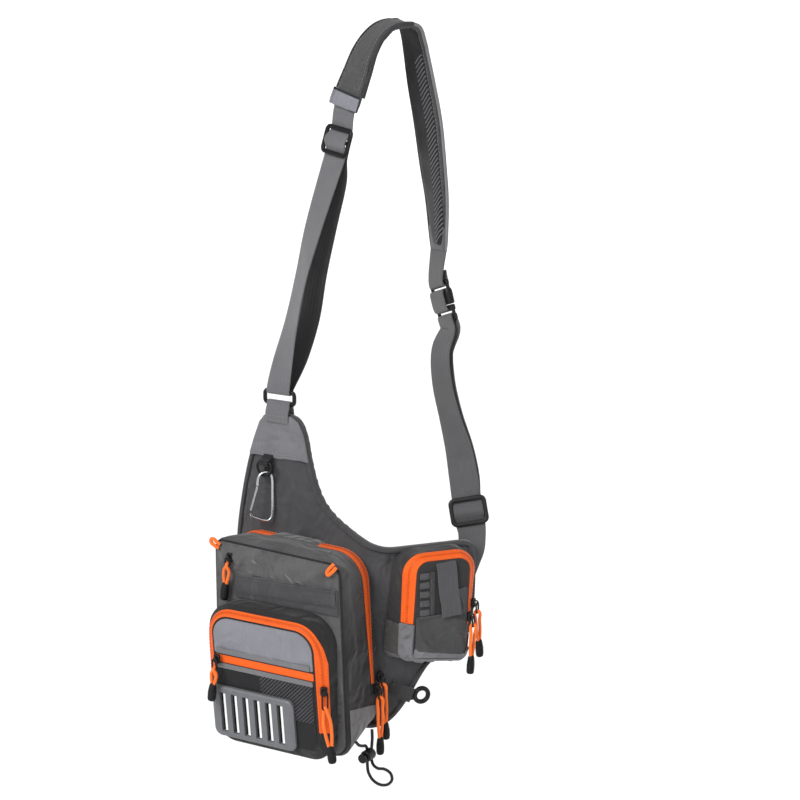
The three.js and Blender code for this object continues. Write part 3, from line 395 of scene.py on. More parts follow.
@dataclass(frozen=True)
class Axes:
    """A fitting's own axes: its middle and unit directions across, down and out."""

    middle: Array
    across: Array
    down: Array
    out: Array

    def at(self, rows: Sequence) -> Array:
        """Points from rows of distance across, down and out."""
        rows = np.asarray(rows, float)
        across, down, out = (rows[..., i:i + 1] for i in range(3))
        return self.middle + across * self.across + down * self.down + out * self.out

    def moved(self, across: float, down: float, out: float) -> "Axes":
        """The same axes with their middle moved."""
        return Axes(self.at((across, down, out)), self.across, self.down, self.out)


def across_for(face: float | Array) -> Array:
    """Level unit directions at azimuths in degrees."""
    turn = np.radians(face)
    return stacked(np.cos(turn), np.sin(turn), 0.0)


def upright(middle: Sequence[float], face: float) -> Axes:
    """Axes of a fitting that hangs straight down and looks out at an azimuth."""
    down = np.array((0.0, 0.0, -1.0))
    across = across_for(face)
    return Axes(np.array(middle, float), across, down, np.cross(down, across))


def along_strap(middle: Sequence[float], towards: Sequence[float], face: float) -> Axes:
    """Axes of a fitting on a strap that runs from its middle towards a point below."""
    middle = np.array(middle, float)
    down = unit(np.array(towards, float) - middle)
    across = across_for(face)
    across = unit(across - down * (across @ down))
    return Axes(middle, across, down, np.cross(down, across))


def moulding(axes: Axes, rows: Sequence, square: float = 4.0) -> Surface:
    """A moulded block: boxy ovals along the down axis, from rows of distance down, width and thickness."""
    rows = np.asarray(rows, float)
    section = oval(1.0, 1.0, square, 24)[None] * rows[:, None, 1:]
    return sweep(axes.at(stacked(0.0, rows[:, 0], 0.0)), section, axes.across)


def frame_ring(axes: Axes, outline: "Outline", wide: float, thick: float, count: int = 72) -> Surface:
    """A moulded ring: a boxy oval carried round an outline of distances across and down."""
    ring = even(outline.ring(), count)
    path = axes.at(stacked(ring[:, 0], ring[:, 1], 0.0))
    return sweep(path, oval(thick, wide, 3.0, 14), axes.out, closed=True)


def stations(points: Array, across: Array, width: float = WEB_WIDTH) -> Array:
    """Webbing stations: rows of place, direction across and width."""
    points = np.atleast_2d(points)
    widths = np.full((len(points), 1), width)
    return np.concatenate([points, np.broadcast_to(across, points.shape), widths], axis=1)


def ribbon(rows: Array, thick: float = 1.8, per: int = 6) -> Surface:
    """Webbing: a flat boxy oval carried along the curve through its stations, as wide as they say."""
    curve = spline(rows, per)
    section = oval(1.0, thick, 8.0, 28)[None] * stacked(curve[:, 6], np.ones(len(curve)))[:, None]
    return sweep(curve[:, :3], section, curve[:, 3:6])


# Meshes


def build_mesh(name: str, surfaces: Sequence[Surface]) -> Mesh:
    """Joins surfaces into one mesh with smooth faces, closed seams, outward normals and a flat UV map.

    Args:
        name: the mesh's name.
        surfaces: grids or batches of grids, in pack millimetres.

    Returns:
        The mesh, in the shared frame.
    """
    places, flats, corners, start = [], [], [], 0
    for surface in surfaces:
        rows, columns = surface.points.shape[-3:-1]
        index = np.arange(rows * columns).reshape(rows, columns)
        quads = stacked(index[:-1, :-1], index[:-1, 1:], index[1:, 1:], index[1:, :-1]).reshape(-1, 4)
        batch = surface.points.reshape(-1, rows * columns, 3)
        offsets = start + np.arange(len(batch))[:, None, None] * rows * columns
        corners.append((quads[None] + offsets).reshape(-1, 4))
        places.append(batch.reshape(-1, 3))
        flats.append(np.broadcast_to(surface.flat, surface.points.shape[:-1] + (2,)).reshape(-1, 2))
        start += len(places[-1])
    quads = np.concatenate(corners)
    mesh = bpy.data.meshes.new(name)
    mesh.vertices.add(start)
    mesh.vertices.foreach_set("co", in_frame(np.concatenate(places)).astype(np.float32).ravel())
    mesh.loops.add(quads.size)
    mesh.loops.foreach_set("vertex_index", quads.astype(np.int32).ravel())
    mesh.polygons.add(len(quads))
    mesh.polygons.foreach_set("loop_start", np.arange(0, quads.size, 4, dtype=np.int32))
    mesh.uv_layers.new(name=FLAT)
    uv = np.concatenate(flats)[quads.ravel()] * MM
    mesh.uv_layers[FLAT].data.foreach_set("uv", uv.astype(np.float32).ravel())
    mesh.update(calc_edges=True)
    close_seams(mesh)
    return mesh


def close_seams(mesh: Mesh) -> None:
    """Merges doubled points, turns the faces outwards and smooths all but sharp edges."""
    work = bmesh.new()
    work.from_mesh(mesh)
    bmesh.ops.remove_doubles(work, verts=work.verts, dist=2e-6)
    bmesh.ops.recalc_face_normals(work, faces=work.faces)
    work.to_mesh(mesh)
    work.free()
    mesh.shade_smooth()
    mesh.set_sharp_from_angle(angle=SHARP)


def solid(name: str) -> Thing:
    """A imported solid's object."""
    return bpy.data.objects[name]


def read(items: bpy.types.bpy_prop_collection, name: str, width: int = 3, kind: type = np.float32) -> Array:
    """One property of every item of a collection, as rows."""
    values = np.empty(len(items) * width, kind)
    items.foreach_get(name, values)
    return values.reshape(-1, width)


def vertex_places(mesh: Mesh) -> Array:
    """A mesh's points in pack millimetres."""
    return read(mesh.vertices, "co") / MM + HANG


def lay_flat(mesh: Mesh, flat: Array) -> None:
    """Gives a mesh the flat UV map from one flat place in mm for each vertex."""
    corner = read(mesh.loops, "vertex_index", 1, np.int32).ravel()
    layer = mesh.uv_layers.get(FLAT) or mesh.uv_layers.new(name=FLAT)
    layer.data.foreach_set("uv", (flat[corner] * MM).astype(np.float32).ravel())


# Finishes


def linear(colour: str) -> tuple[float, float, float, float]:
    """An sRGB hex colour as linear light."""
    value = np.array([int(colour[i:i + 2], 16) for i in (1, 3, 5)]) / 255
    light = np.where(value <= 0.04045, value / 12.92, ((value + 0.055) / 1.055) ** 2.4)
    return (*light.tolist(), 1.0)


def add(tree: Tree, kind: str, inputs: dict | None = None, output: int | str = 0,
        **settings) -> Socket | None:
    """Adds a node, sets its properties, and links or fills its inputs.

    Args:
        tree: the material's node tree.
        kind: the node's type without the ShaderNode prefix.
        inputs: socket name or number to another socket, which is linked, or to a value.
        output: name or number of the output that is wanted.
        settings: the node's own properties.

    Returns:
        The output's socket, or nothing for a node without one.
    """
    node = tree.nodes.new("ShaderNode" + kind)
    for name, value in settings.items():
        setattr(node, name, value)
    for name, value in (inputs or {}).items():
        if isinstance(value, Socket):
            tree.links.new(value, node.inputs[name])
        else:
            node.inputs[name].default_value = value
    return node.outputs[output] if node.outputs else None


def reckon(tree: Tree, operation: str, *values: Socket | float) -> Socket:
    """The result of a math node on two or three values."""
    return add(tree, "Math", dict(enumerate(values)), operation=operation)


def mixed(tree: Tree, share: Socket, colour: str, other: str) -> Socket:
    """One hex colour going over to another with a share."""
    return add(tree, "Mix", {0: share, 6: linear(colour), 7: linear(other)}, 2, data_type="RGBA")


def around(tree: Tree, noise: Socket, middle: float, reach: float) -> Socket:
    """A noise spread evenly about a middle value."""
    return add(tree, "MapRange", {0: noise, 3: middle - reach, 4: middle + reach})


def band_scale(period: float) -> float:
    """Scale of a wave texture whose bands repeat at a distance in mm, on coordinates in metres."""
    return np.pi / (10 * period * MM)


@dataclass(frozen=True)
class Finish:
    """A finish with its slot; each kind draws the inputs of its shader."""

    name: str
    slot: str

    def material(self) -> bpy.types.Material:
        """The material, drawn on first use."""
        made = bpy.data.materials.get(self.name)
        if made is None:
            made = bpy.data.materials.new(self.name)
            made.use_nodes = True
            tree = made.node_tree
            tree.nodes.clear()
            add(tree, "OutputMaterial", {"Surface": add(tree, "BsdfPrincipled", self.draw(tree))})
        return made

    def draw(self, tree: Tree) -> dict:
        """The shader's inputs, as sockets or values; each kind of finish has its own."""
        raise NotImplementedError


class Weave(Enum):
    """How threads cross: one over one, in herringbone columns, or in straight ribs."""

    PLAIN = "plain"
    HERRINGBONE = "herringbone"
    RIBS = "ribs"


@dataclass(frozen=True)
class Cloth(Finish):
    """Woven polyester on the flat map: heathered yarn, soft mottling, thread relief, any painted shade."""

    colour: str
    shade: str
    weave: Weave = Weave.PLAIN
    thread: float = 1.3
    relief: float = 0.35
    roughness: float = 0.85
    sheen: float = 0.25
    painted_shade: tuple[float, float] | None = None
    crease: float = 0.0

    def draw(self, tree: Tree) -> dict:
        """Threads from two crossed waves; their height also tints the colour, with noise over both."""
        flat = add(tree, "UVMap", uv_map=FLAT)
        height = self.threads(tree, flat)
        yarn = add(tree, "Mapping", {"Vector": flat, "Scale": (900.0, 60.0, 1.0)})
        heather = add(tree, "TexNoise", {"Vector": yarn, "Scale": 1.0, "Detail": 2.0})
        mottle = add(tree, "TexNoise", {"Vector": flat, "Scale": 28.0, "Detail": 3.0})
        tone = reckon(tree, "MULTIPLY", height, 0.35)
        tone = reckon(tree, "MULTIPLY_ADD", heather, 0.4, tone)
        tone = reckon(tree, "MULTIPLY_ADD", mottle, 0.45, tone)
        # painted_shade: the tone darkens towards the first distance along the map's second axis
        if self.painted_shade:
            dark, full = self.painted_shade
            along = add(tree, "SeparateXYZ", {0: flat}, 1)
            light = add(tree, "MapRange", {0: along, 1: dark * MM, 2: full * MM, 3: 0.25})
            tone = reckon(tree, "MULTIPLY", tone, light)
        ramp = add(tree, "ValToRGB", {0: tone})
        stops = zip(ramp.node.color_ramp.elements, (0.25, 0.9), (self.shade, self.colour))
        for stop, place, colour in stops:
            stop.position = place
            stop.color = linear(colour)
        bump = add(tree, "Bump", {"Height": height, "Distance": self.relief * MM, "Strength": 0.7})
        if self.crease:
            slack = add(tree, "TexNoise", {"Vector": flat, "Scale": 22.0, "Detail": 2.0, "Distortion": 0.8})
            bump = add(tree, "Bump", {"Height": slack, "Distance": self.crease * MM, "Normal": bump})
        return {"Base Color": ramp, "Normal": bump, "Roughness": self.roughness, "Sheen Weight": self.sheen,
                "Sheen Roughness": 0.45, "Specular IOR Level": 0.25}

    def threads(self, tree: Tree, flat: Socket) -> Socket:
        """Thread height from 0 to 1 for this weave.

        Args:
            tree: the node tree.
            flat: the flat place in metres.

        Returns:
            The height's socket.
        """
        scale = band_scale(2 * self.thread)
        if self.weave is Weave.PLAIN:
            warp, weft = (add(tree, "TexWave", {"Vector": flat, "Scale": scale}, 1, bands_direction=way)
                          for way in "XY")
            return add(tree, "Mix", {0: warp, 2: reckon(tree, "SUBTRACT", 1.0, weft), 3: weft})
        across, line = add(tree, "SeparateXYZ", {0: flat}).node.outputs[:2]
        if self.weave is Weave.HERRINGBONE:
            column = reckon(tree, "PINGPONG", across, 3 * self.thread * MM)
            line = reckon(tree, "ADD", column, line)
        return add(tree, "TexWave", {"Vector": add(tree, "CombineXYZ", {0: line}), "Scale": scale}, 1)


@dataclass(frozen=True)
class Braid(Finish):
    """Braided cord: two sets of strands that cross round it, as the product of two slanted waves."""

    colour: str
    shade: str
    strand: float = 1.5
    roughness: float = 0.6

    def draw(self, tree: Tree) -> dict:
        """Slanted bands each way over the cord's own flat map."""
        flat = add(tree, "UVMap", uv_map=FLAT)
        slants = [add(tree, "Mapping", {"Vector": flat, "Rotation": (0.0, 0.0, turn)})
                  for turn in (0.7, -0.7)]
        scale = band_scale(self.strand)
        waves = [add(tree, "TexWave", {"Vector": slant, "Scale": scale}, 1) for slant in slants]
        height = reckon(tree, "MAXIMUM", *waves)
        return {"Base Color": mixed(tree, height, self.shade, self.colour),
                "Normal": add(tree, "Bump", {"Height": height, "Distance": 0.4 * MM, "Strength": 0.8}),
                "Roughness": self.roughness, "Sheen Weight": 0.1, "Specular IOR Level": 0.25}


@dataclass(frozen=True)
class Moulded(Finish):
    """Injection-moulded plastic: an even colour with a fine spark-eroded grain and faint rubbing."""

    colour: str
    rubbed: str
    roughness: float = 0.45
    grain: float = 0.9
    specular: float = 0.4

    def draw(self, tree: Tree) -> dict:
        """Grain as fine noise in the bump; a broad noise moves the colour and the gloss a little."""
        place = add(tree, "TexCoord", output="Object")
        grain = add(tree, "TexNoise", {"Vector": place, "Scale": 1 / (self.grain * MM), "Detail": 2.0})
        rub = add(tree, "TexNoise", {"Vector": place, "Scale": 120.0, "Detail": 4.0})
        return {"Base Color": mixed(tree, rub, self.colour, self.rubbed),
                "Roughness": around(tree, rub, self.roughness, 0.1),
                "Normal": add(tree, "Bump", {"Height": grain, "Distance": 0.08 * MM, "Strength": 0.5}),
                "Specular IOR Level": self.specular}


@dataclass(frozen=True)
class PlatedWire(Finish):
    """Nickel-plated steel wire: bright, with drawing marks that blur it along its length."""

    colour: str
    roughness: float = 0.24

    def draw(self, tree: Tree) -> dict:
        """A metal whose roughness follows long, narrow noise."""
        flat = add(tree, "UVMap", uv_map=FLAT)
        marks = add(tree, "Mapping", {"Vector": flat, "Scale": (1500.0, 40.0, 1.0)})
        streak = add(tree, "TexNoise", {"Vector": marks, "Scale": 1.0, "Detail": 3.0})
        return {"Roughness": around(tree, streak, self.roughness, 0.12), "Metallic": 1.0,
                "Base Color": linear(self.colour)}


HERRINGBONE = {"weave": Weave.HERRINGBONE, "thread": 1.0, "relief": 0.4, "roughness": 0.7}
RIBS = {"weave": Weave.RIBS, "thread": 0.9, "relief": 0.3, "roughness": 0.75}
YARN = {"thread": 0.6, "relief": 0.15}

# 600 denier polyester: matt, fine plain weave; the real thread is 0.5 mm, drawn at 1.3 mm to show
DARK_CLOTH = Cloth("polyester_oxford_dark", "dark_cloth", "#454547", "#2f2f31", crease=11.0)
# The main front and its zip cover: a lighter copy of the dark cloth, as painted light
LIT_FRONT_CLOTH = Cloth("polyester_oxford_front_lit", "dark_cloth", "#555556", "#3c3c3d", crease=16.0)
# The side walls are the same cloth in a darker copy, as painted shade beside the fronts
SHADED_GUSSET_CLOTH = Cloth("polyester_oxford_gusset_shaded", "dark_cloth", "#323131", "#201f1f", sheen=0.12, crease=10.0)
# The main gusset: lighter on its top and darkening down its sides, as painted light and shade
SHADED_MAIN_GUSSET = Cloth("polyester_oxford_main_gusset_shaded", "dark_cloth", "#58585a", "#2a2929", sheen=0.12,
                    painted_shade=(-120.0, -6.0), crease=12.0)
# The front pocket's walls and face: the same cloth much darker, as painted shade
SHADED_WALL_CLOTH = Cloth("polyester_oxford_wall_shaded", "dark_cloth", "#282727", "#191818", sheen=0.1, crease=10.0)
SLEEVE_CLOTH = Cloth("polyester_oxford_sleeve", "dark_cloth", "#434344", "#2e2e2f", crease=16.0)
LIGHT_CLOTH = Cloth("polyester_oxford_light", "light_cloth", "#6f6f72", "#565659", crease=10.0)
FLAP_CLOTH = Cloth("polyester_oxford_flap", "light_cloth", "#7d7d84", "#65656c", crease=12.0)
# The foot patch: a slightly darker copy of the light cloth, as painted shade
FOOT_CLOTH = Cloth("polyester_oxford_foot", "light_cloth", "#6c6b6c", "#545354", crease=12.0)
FLANK_CLOTH = Cloth("polyester_oxford_flank", "light_cloth", "#434342", "#30302f", crease=16.0)
# Warp-knit mesh: a matt dark ground that the glossier strands stand out from
MESH_BACK = Cloth("warp_knit_mesh_backing", "mesh_cloth", "#212123", "#141416", roughness=0.9, sheen=0.1)
NET = Cloth("warp_knit_mesh_strand", "mesh_cloth", "#606063", "#424245", **YARN)
# The under strands: a darker copy of the strands, as painted shade
NET_SHADE = Cloth("warp_knit_mesh_under_strand", "mesh_cloth", "#333336", "#222224", **YARN)
# Flat polyester webbing: herringbone columns, a little gloss on the raised yarn
WEBBING = Cloth("polyester_webbing", "webbing", "#68686b", "#4b4b4e", sheen=0.3, **HERRINGBONE)
# Darker copies of the same webbing: painted shade on the straps, ribs and covers that face away from the
# light
SIDE_WEBBING = Cloth("polyester_webbing_dark", "webbing", "#4d4d50", "#363638", **HERRINGBONE)
RIGHT_WEBBING = Cloth("polyester_webbing_mid", "webbing", "#535355", "#3c3c3d", **HERRINGBONE)
# The inner copy, darker still: painted shade on the left strap's return strand; the net ring's tab wears it
# too
INNER_WEBBING = Cloth("polyester_webbing_inner", "webbing", "#303032", "#202022", **HERRINGBONE)
# Grosgrain tape: crosswise ribs
BINDING = Cloth("grosgrain_binding", "binding", "#1f1f21", "#121213", sheen=0.12, **RIBS)
PAD_BINDING = Cloth("grosgrain_binding_pad", "binding", "#39393b", "#252527", sheen=0.12, **RIBS)
PANEL_BINDING = Cloth("grosgrain_binding_panel", "binding", "#434345", "#2c2c2e", **RIBS)
# Orange zip: woven tape, moulded nylon coil darker as painted shade between its halves, braided cords on its
# pulls
ORANGE_TAPE = Cloth("coil_zip_tape", "orange_tape", "#ec5f12", "#c04a0d", Weave.RIBS, 0.9, 0.3, 0.7, 0.1)
ORANGE_COIL = Moulded("nylon_zip_coil", "orange_tape", "#a33c0a", "#bf4c10", 0.4)
ORANGE_CORD = Braid("braided_cord_orange", "orange_tape", "#f87422", "#c04c12")
ORANGE_THREAD = Braid("polyester_thread_orange", "orange_tape", "#f08038", "#b8521a", 0.8)
BLACK_CORD = Braid("braided_cord_black", "black_cord", "#111112", "#070708")
DARK_THREAD = Braid("polyester_thread_dark", "dark_cloth", "#323234", "#1c1c1e", 0.8)
GREY_THREAD = Braid("polyester_thread_grey", "light_cloth", "#8a8a8e", "#5a5a5e", 0.8)
# Shoulder pad: cloth outside, open spacer mesh and a light bound edge against the body
PAD_CLOTH = Cloth("polyester_oxford_pad", "dark_cloth", "#4a4a4b", "#323233", sheen=0.15, crease=9.0)
# Painted shade on the pad's inner face: a dark sheet, darker towards the shoulder, where little light
# reaches
PAD_SHADE_SHEET = Cloth("polyester_oxford_painted_shade", "dark_cloth", "#505051", "#141415", sheen=0.1,
                   painted_shade=(150.0, 420.0))
PAD_MESH = Cloth("spacer_mesh", "mesh_cloth", "#232325", "#121213", Weave.PLAIN, 1.6, 0.6, 0.9, 0.1)
PAD_KNIT = Cloth("spacer_mesh_knit", "mesh_cloth", "#77777a", "#515154", **YARN)
PAD_EDGE = Cloth("polyester_oxford_edge", "light_cloth", "#7a7a7d", "#5e5e61")
# Moulded fittings: matt black acetal and rubber, soft grey plate, white bars
GRIP_RUBBER = Moulded("soft_rubber_black", "black_plastic", "#0b0b0c", "#121213", 0.55, specular=0.2)
BLACK_PLASTIC = Moulded("acetal_black", "black_plastic", "#0c0c0d", "#151516", 0.4, specular=0.25)
GREY_PLASTIC = Moulded("soft_pvc_grey", "grey_plastic", "#545558", "#616265", 0.5)
WHITE_PLASTIC = Moulded("abs_white", "white_plastic", "#d2d2d2", "#e2e2e2", 0.35)
STEEL = PlatedWire("nickel_plated_steel", "steel", "#c2c4c7")


def put(name: str, surfaces: Sequence[Surface], finish: Finish, *nodes: str,
        body: str = PACK) -> Thing:
    """One finished piece of surfaces on its body, in the place of the solids that it stands for."""
    piece = bpy.data.objects.new(name, build_mesh(name, surfaces))
    return settle(piece, finish, *nodes, body=body)


def settle(piece: Thing, finish: Finish, *nodes: str, body: str = PACK) -> Thing:
    """Links a piece to the scene, dresses it, puts it on its body and hides the solids that it stands for.
    """
    if piece.name not in bpy.context.scene.collection.objects:
        bpy.context.scene.collection.objects.link(piece)
    piece.data.materials.append(finish.material())
    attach(piece, body)
    if nodes:
        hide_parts(*nodes)
    LOG.info("%s: %d faces, %s", piece.name, len(piece.data.polygons), finish.name)
    return piece


# Camera, floor and light


@dataclass
class Studio:
    """The photograph's camera, a pale floor and soft light from the upper front. Places are in metres."""

    eye: tuple[float, float, float] = (1.3337, -2.3085, 0.1899)
    target: tuple[float, float, float] = (0.0723, -0.1237, -0.4390)
    lens: float = 95.9
    floor_drop: float = 0.60
    # Rows of the floor's radius and height: flat, then swept up at its far rim
    floor: tuple = ((0, 0), (4, 0), (8, 0), (9.4, 0.2), (10.8, 0.8), (12.2, 1.9), (13.3, 3.5), (14, 6))
    room: float = 0.36
    key: float = 3.3
    key_spread: float = np.radians(28)
    key_from: tuple[float, float, float] = (-0.15, -0.95, 0.75)
    fill: float = 14.0
    fill_from: tuple[float, float, float] = (1.6, -1.6, 0.4)
    fill_size: float = 1.6

    def aim(self, name: str, data: bpy.types.ID, place: Sequence[float], way: Vector) -> Thing:
        """Adds a camera or light at a place, looking along a direction."""
        made = bpy.data.objects.new(name, data)
        made.location = place
        made.rotation_euler = way.to_track_quat("-Z", "Y").to_euler()
        bpy.context.scene.collection.objects.link(made)
        return made

    def set_camera(self) -> None:
        """Aims the camera along the line from eye to target."""
        data = bpy.data.cameras.new("photograph_camera")
        data.lens = self.lens
        data.sensor_width = 36.0
        way = Vector(self.target) - Vector(self.eye)
        bpy.context.scene.camera = self.aim("photograph_camera", data, self.eye, way)

    def set_stage(self, lowest: float) -> None:
        """Adds the floor disc, the pale room, a broad sun as key light and a soft fill.

        Args:
            lowest: height of the object's lowest point.
        """
        scene = bpy.context.scene
        scene.view_settings.view_transform = "Standard"
        world = bpy.data.worlds.new("white_room")
        world.use_nodes = True
        world.node_tree.nodes["Background"].inputs[0].default_value = linear("#ffffff")
        world.node_tree.nodes["Background"].inputs[1].default_value = self.room
        scene.world = world
        radius, height = (np.array(self.floor).T / MM)[..., None]
        turn = np.linspace(0, TAU, 65)[None, :]
        height = height + (lowest - self.floor_drop) / MM
        disc = stacked(radius * np.cos(turn), radius * np.sin(turn), height) + HANG
        ground = bpy.data.objects.new("floor", build_mesh("floor", [Surface(disc, disc[..., :2])]))
        scene.collection.objects.link(ground)
        ground.data.materials.append(PAPER.material())
        ground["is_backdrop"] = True
        fill = bpy.data.lights.new("fill_light", "AREA")
        fill.energy = self.fill
        fill.size = self.fill_size
        self.aim("fill_light", fill, self.fill_from, Vector(self.target) - Vector(self.fill_from))
        sun = bpy.data.lights.new("key_light", "SUN")
        sun.energy = self.key
        sun.angle = self.key_spread
        self.aim("key_light", sun, (0, 0, 0), -Vector(self.key_from))


@dataclass(frozen=True)
class Paper(Finish):
    """Matt white background paper."""

    colour: str = "#fefefe"

    def draw(self, tree: Tree) -> dict:
        """A very faint fibre in the roughness."""
        place = add(tree, "TexCoord", output="Object")
        fibre = add(tree, "TexNoise", {"Vector": place, "Scale": 400.0})
        return {"Roughness": around(tree, fibre, 0.9, 0.05), "Base Color": linear(self.colour),
                "Specular IOR Level": 0.1}


PAPER = Paper("background_paper", "light_cloth")


# Padding


@dataclass(frozen=True)
class Padding:
    """How a padded piece is blown up: voxel size, shrink before it, pressure and the most it moves."""

    voxel: float
    shrink: float
    pressure: float
    cap: float
    frames: int = 20


def puff(node: Thing, name: str, padding: Padding) -> Thing:
    """A padded piece from a solid: shrunk, remeshed, blown up by cloth pressure, and capped.

    Args:
        node: the solid, which is left alone.
        name: the new piece's name.
        padding: the sizes of the blowing up, in mm.

    Returns:
        The piece, with no flat map yet.
    """
    scene = bpy.context.scene
    piece = bpy.data.objects.new(name, node.data.copy())
    piece.data.materials.clear()
    scene.collection.objects.link(piece)
    close_seams(piece.data)
    remesh = piece.modifiers.new("remesh", "REMESH")
    remesh.voxel_size = padding.voxel * MM
    apply_modifiers(piece)
    start = move_along_normals(piece.data, -padding.shrink * MM)
    cloth = piece.modifiers.new("cloth", "CLOTH")
    cloth.settings.use_pressure = True
    cloth.settings.uniform_pressure_force = padding.pressure
    cloth.settings.effector_weights.gravity = 0
    cloth.point_cache.frame_end = padding.frames
    for frame in range(1, padding.frames + 1):
        scene.frame_set(frame)
    apply_modifiers(piece)
    scene.frame_set(1)
    move = read(piece.data.vertices, "co") - start
    far = np.linalg.norm(move, axis=1, keepdims=True)
    move *= np.minimum(1, padding.cap * MM / np.maximum(far, 1e-9))
    piece.data.vertices.foreach_set("co", (start + move).astype(np.float32).ravel())
    smooth = piece.modifiers.new("subdivision", "SUBSURF")
    smooth.levels = smooth.render_levels = 1
    apply_modifiers(piece)
    piece.data.shade_smooth()
    return piece


def apply_modifiers(piece: Thing) -> None:
    """Replaces a piece's mesh with its evaluated one and removes its modifiers."""
    seen = piece.evaluated_get(bpy.context.evaluated_depsgraph_get())
    mesh = bpy.data.meshes.new_from_object(seen)
    piece.modifiers.clear()
    piece.data = mesh


def move_along_normals(mesh: Mesh, distance: float | Array) -> Array:
    """Moves vertices along their normals, by one distance or one for each; returns the points in metres."""
    place = read(mesh.vertices, "co")
    place += read(mesh.vertices, "normal") * np.broadcast_to(distance, len(place))[:, None]
    mesh.vertices.foreach_set("co", place.ravel())
    return place


# Outlines and box pockets

ARC = 12
SIDE = 76
BAND_STEPS = 170


@dataclass(frozen=True)
class Outline:
    """A four-cornered outline in x and z: rows of x, z and corner radius, foot left first, anticlockwise."""

    corners: tuple[tuple[float, float, float], ...]

    def arcs_and_sides(self, inset: float) -> tuple[Array, Array]:
        """Arc points (4, ARC, 2) of the corners, and points (4, SIDE, 2) of the sides that follow them."""
        rows = np.array(self.corners, float)
        corner, radius = rows[:, :2], np.maximum(rows[:, 2] - inset, 1.0)
        ahead = unit(np.roll(corner, -1, axis=0) - corner)
        after = stacked(-ahead[:, 1], ahead[:, 0])
        before = np.roll(after, 1, axis=0)
        reach = (inset + radius)[:, None] / (1 + dot(after, before))
        middle = corner + (after + before) * reach
        start = np.arctan2(-before[:, 1], -before[:, 0])
        swing = (np.arctan2(-after[:, 1], -after[:, 0]) - start) % TAU
        turn = start[:, None] + swing[:, None] * np.linspace(0, 1, ARC)
        arcs = middle[:, None] + radius[:, None, None] * stacked(np.cos(turn), np.sin(turn))
        share = np.linspace(0, 1, SIDE + 2)[1:-1, None]
        following = np.roll(arcs, -1, axis=0)
        return arcs, arcs[:, -1:] * (1 - share) + following[:, :1] * share

    def ring(self, inset: float = 0.0) -> Array:
        """The outline once round from the middle of its foot, anticlockwise, ending where it starts."""
        arcs, sides = self.arcs_and_sides(inset)
        ring = np.concatenate([arcs, sides], axis=1).reshape(-1, 2)
        ring = np.roll(ring, -(ARC + SIDE // 2), axis=0)
        return np.concatenate([ring, ring[:1]])

    def grid(self, columns: int, inset: float = 0.0) -> Array:
        """The filled outline: straight rows between facing points of its left and right edges."""
        arcs, sides = self.arcs_and_sides(inset)
        right = np.concatenate([arcs[1], sides[1], arcs[2]])
        left = np.concatenate([arcs[3], sides[3], arcs[0]])[::-1]
        share = np.linspace(0, 1, columns)[None, :, None]
        return left[:, None] * (1 - share) + right[:, None] * share


def rectangle(left: float, foot: float, right: float, top: float, foot_radius: float,
              top_radius: float | None = None) -> Outline:
    """An upright rectangle with one corner radius at its foot and one at its top."""
    upper = foot_radius if top_radius is None else top_radius
    low = (left, foot, foot_radius), (right, foot, foot_radius)
    return Outline((*low, (right, top, upper), (left, top, upper)))


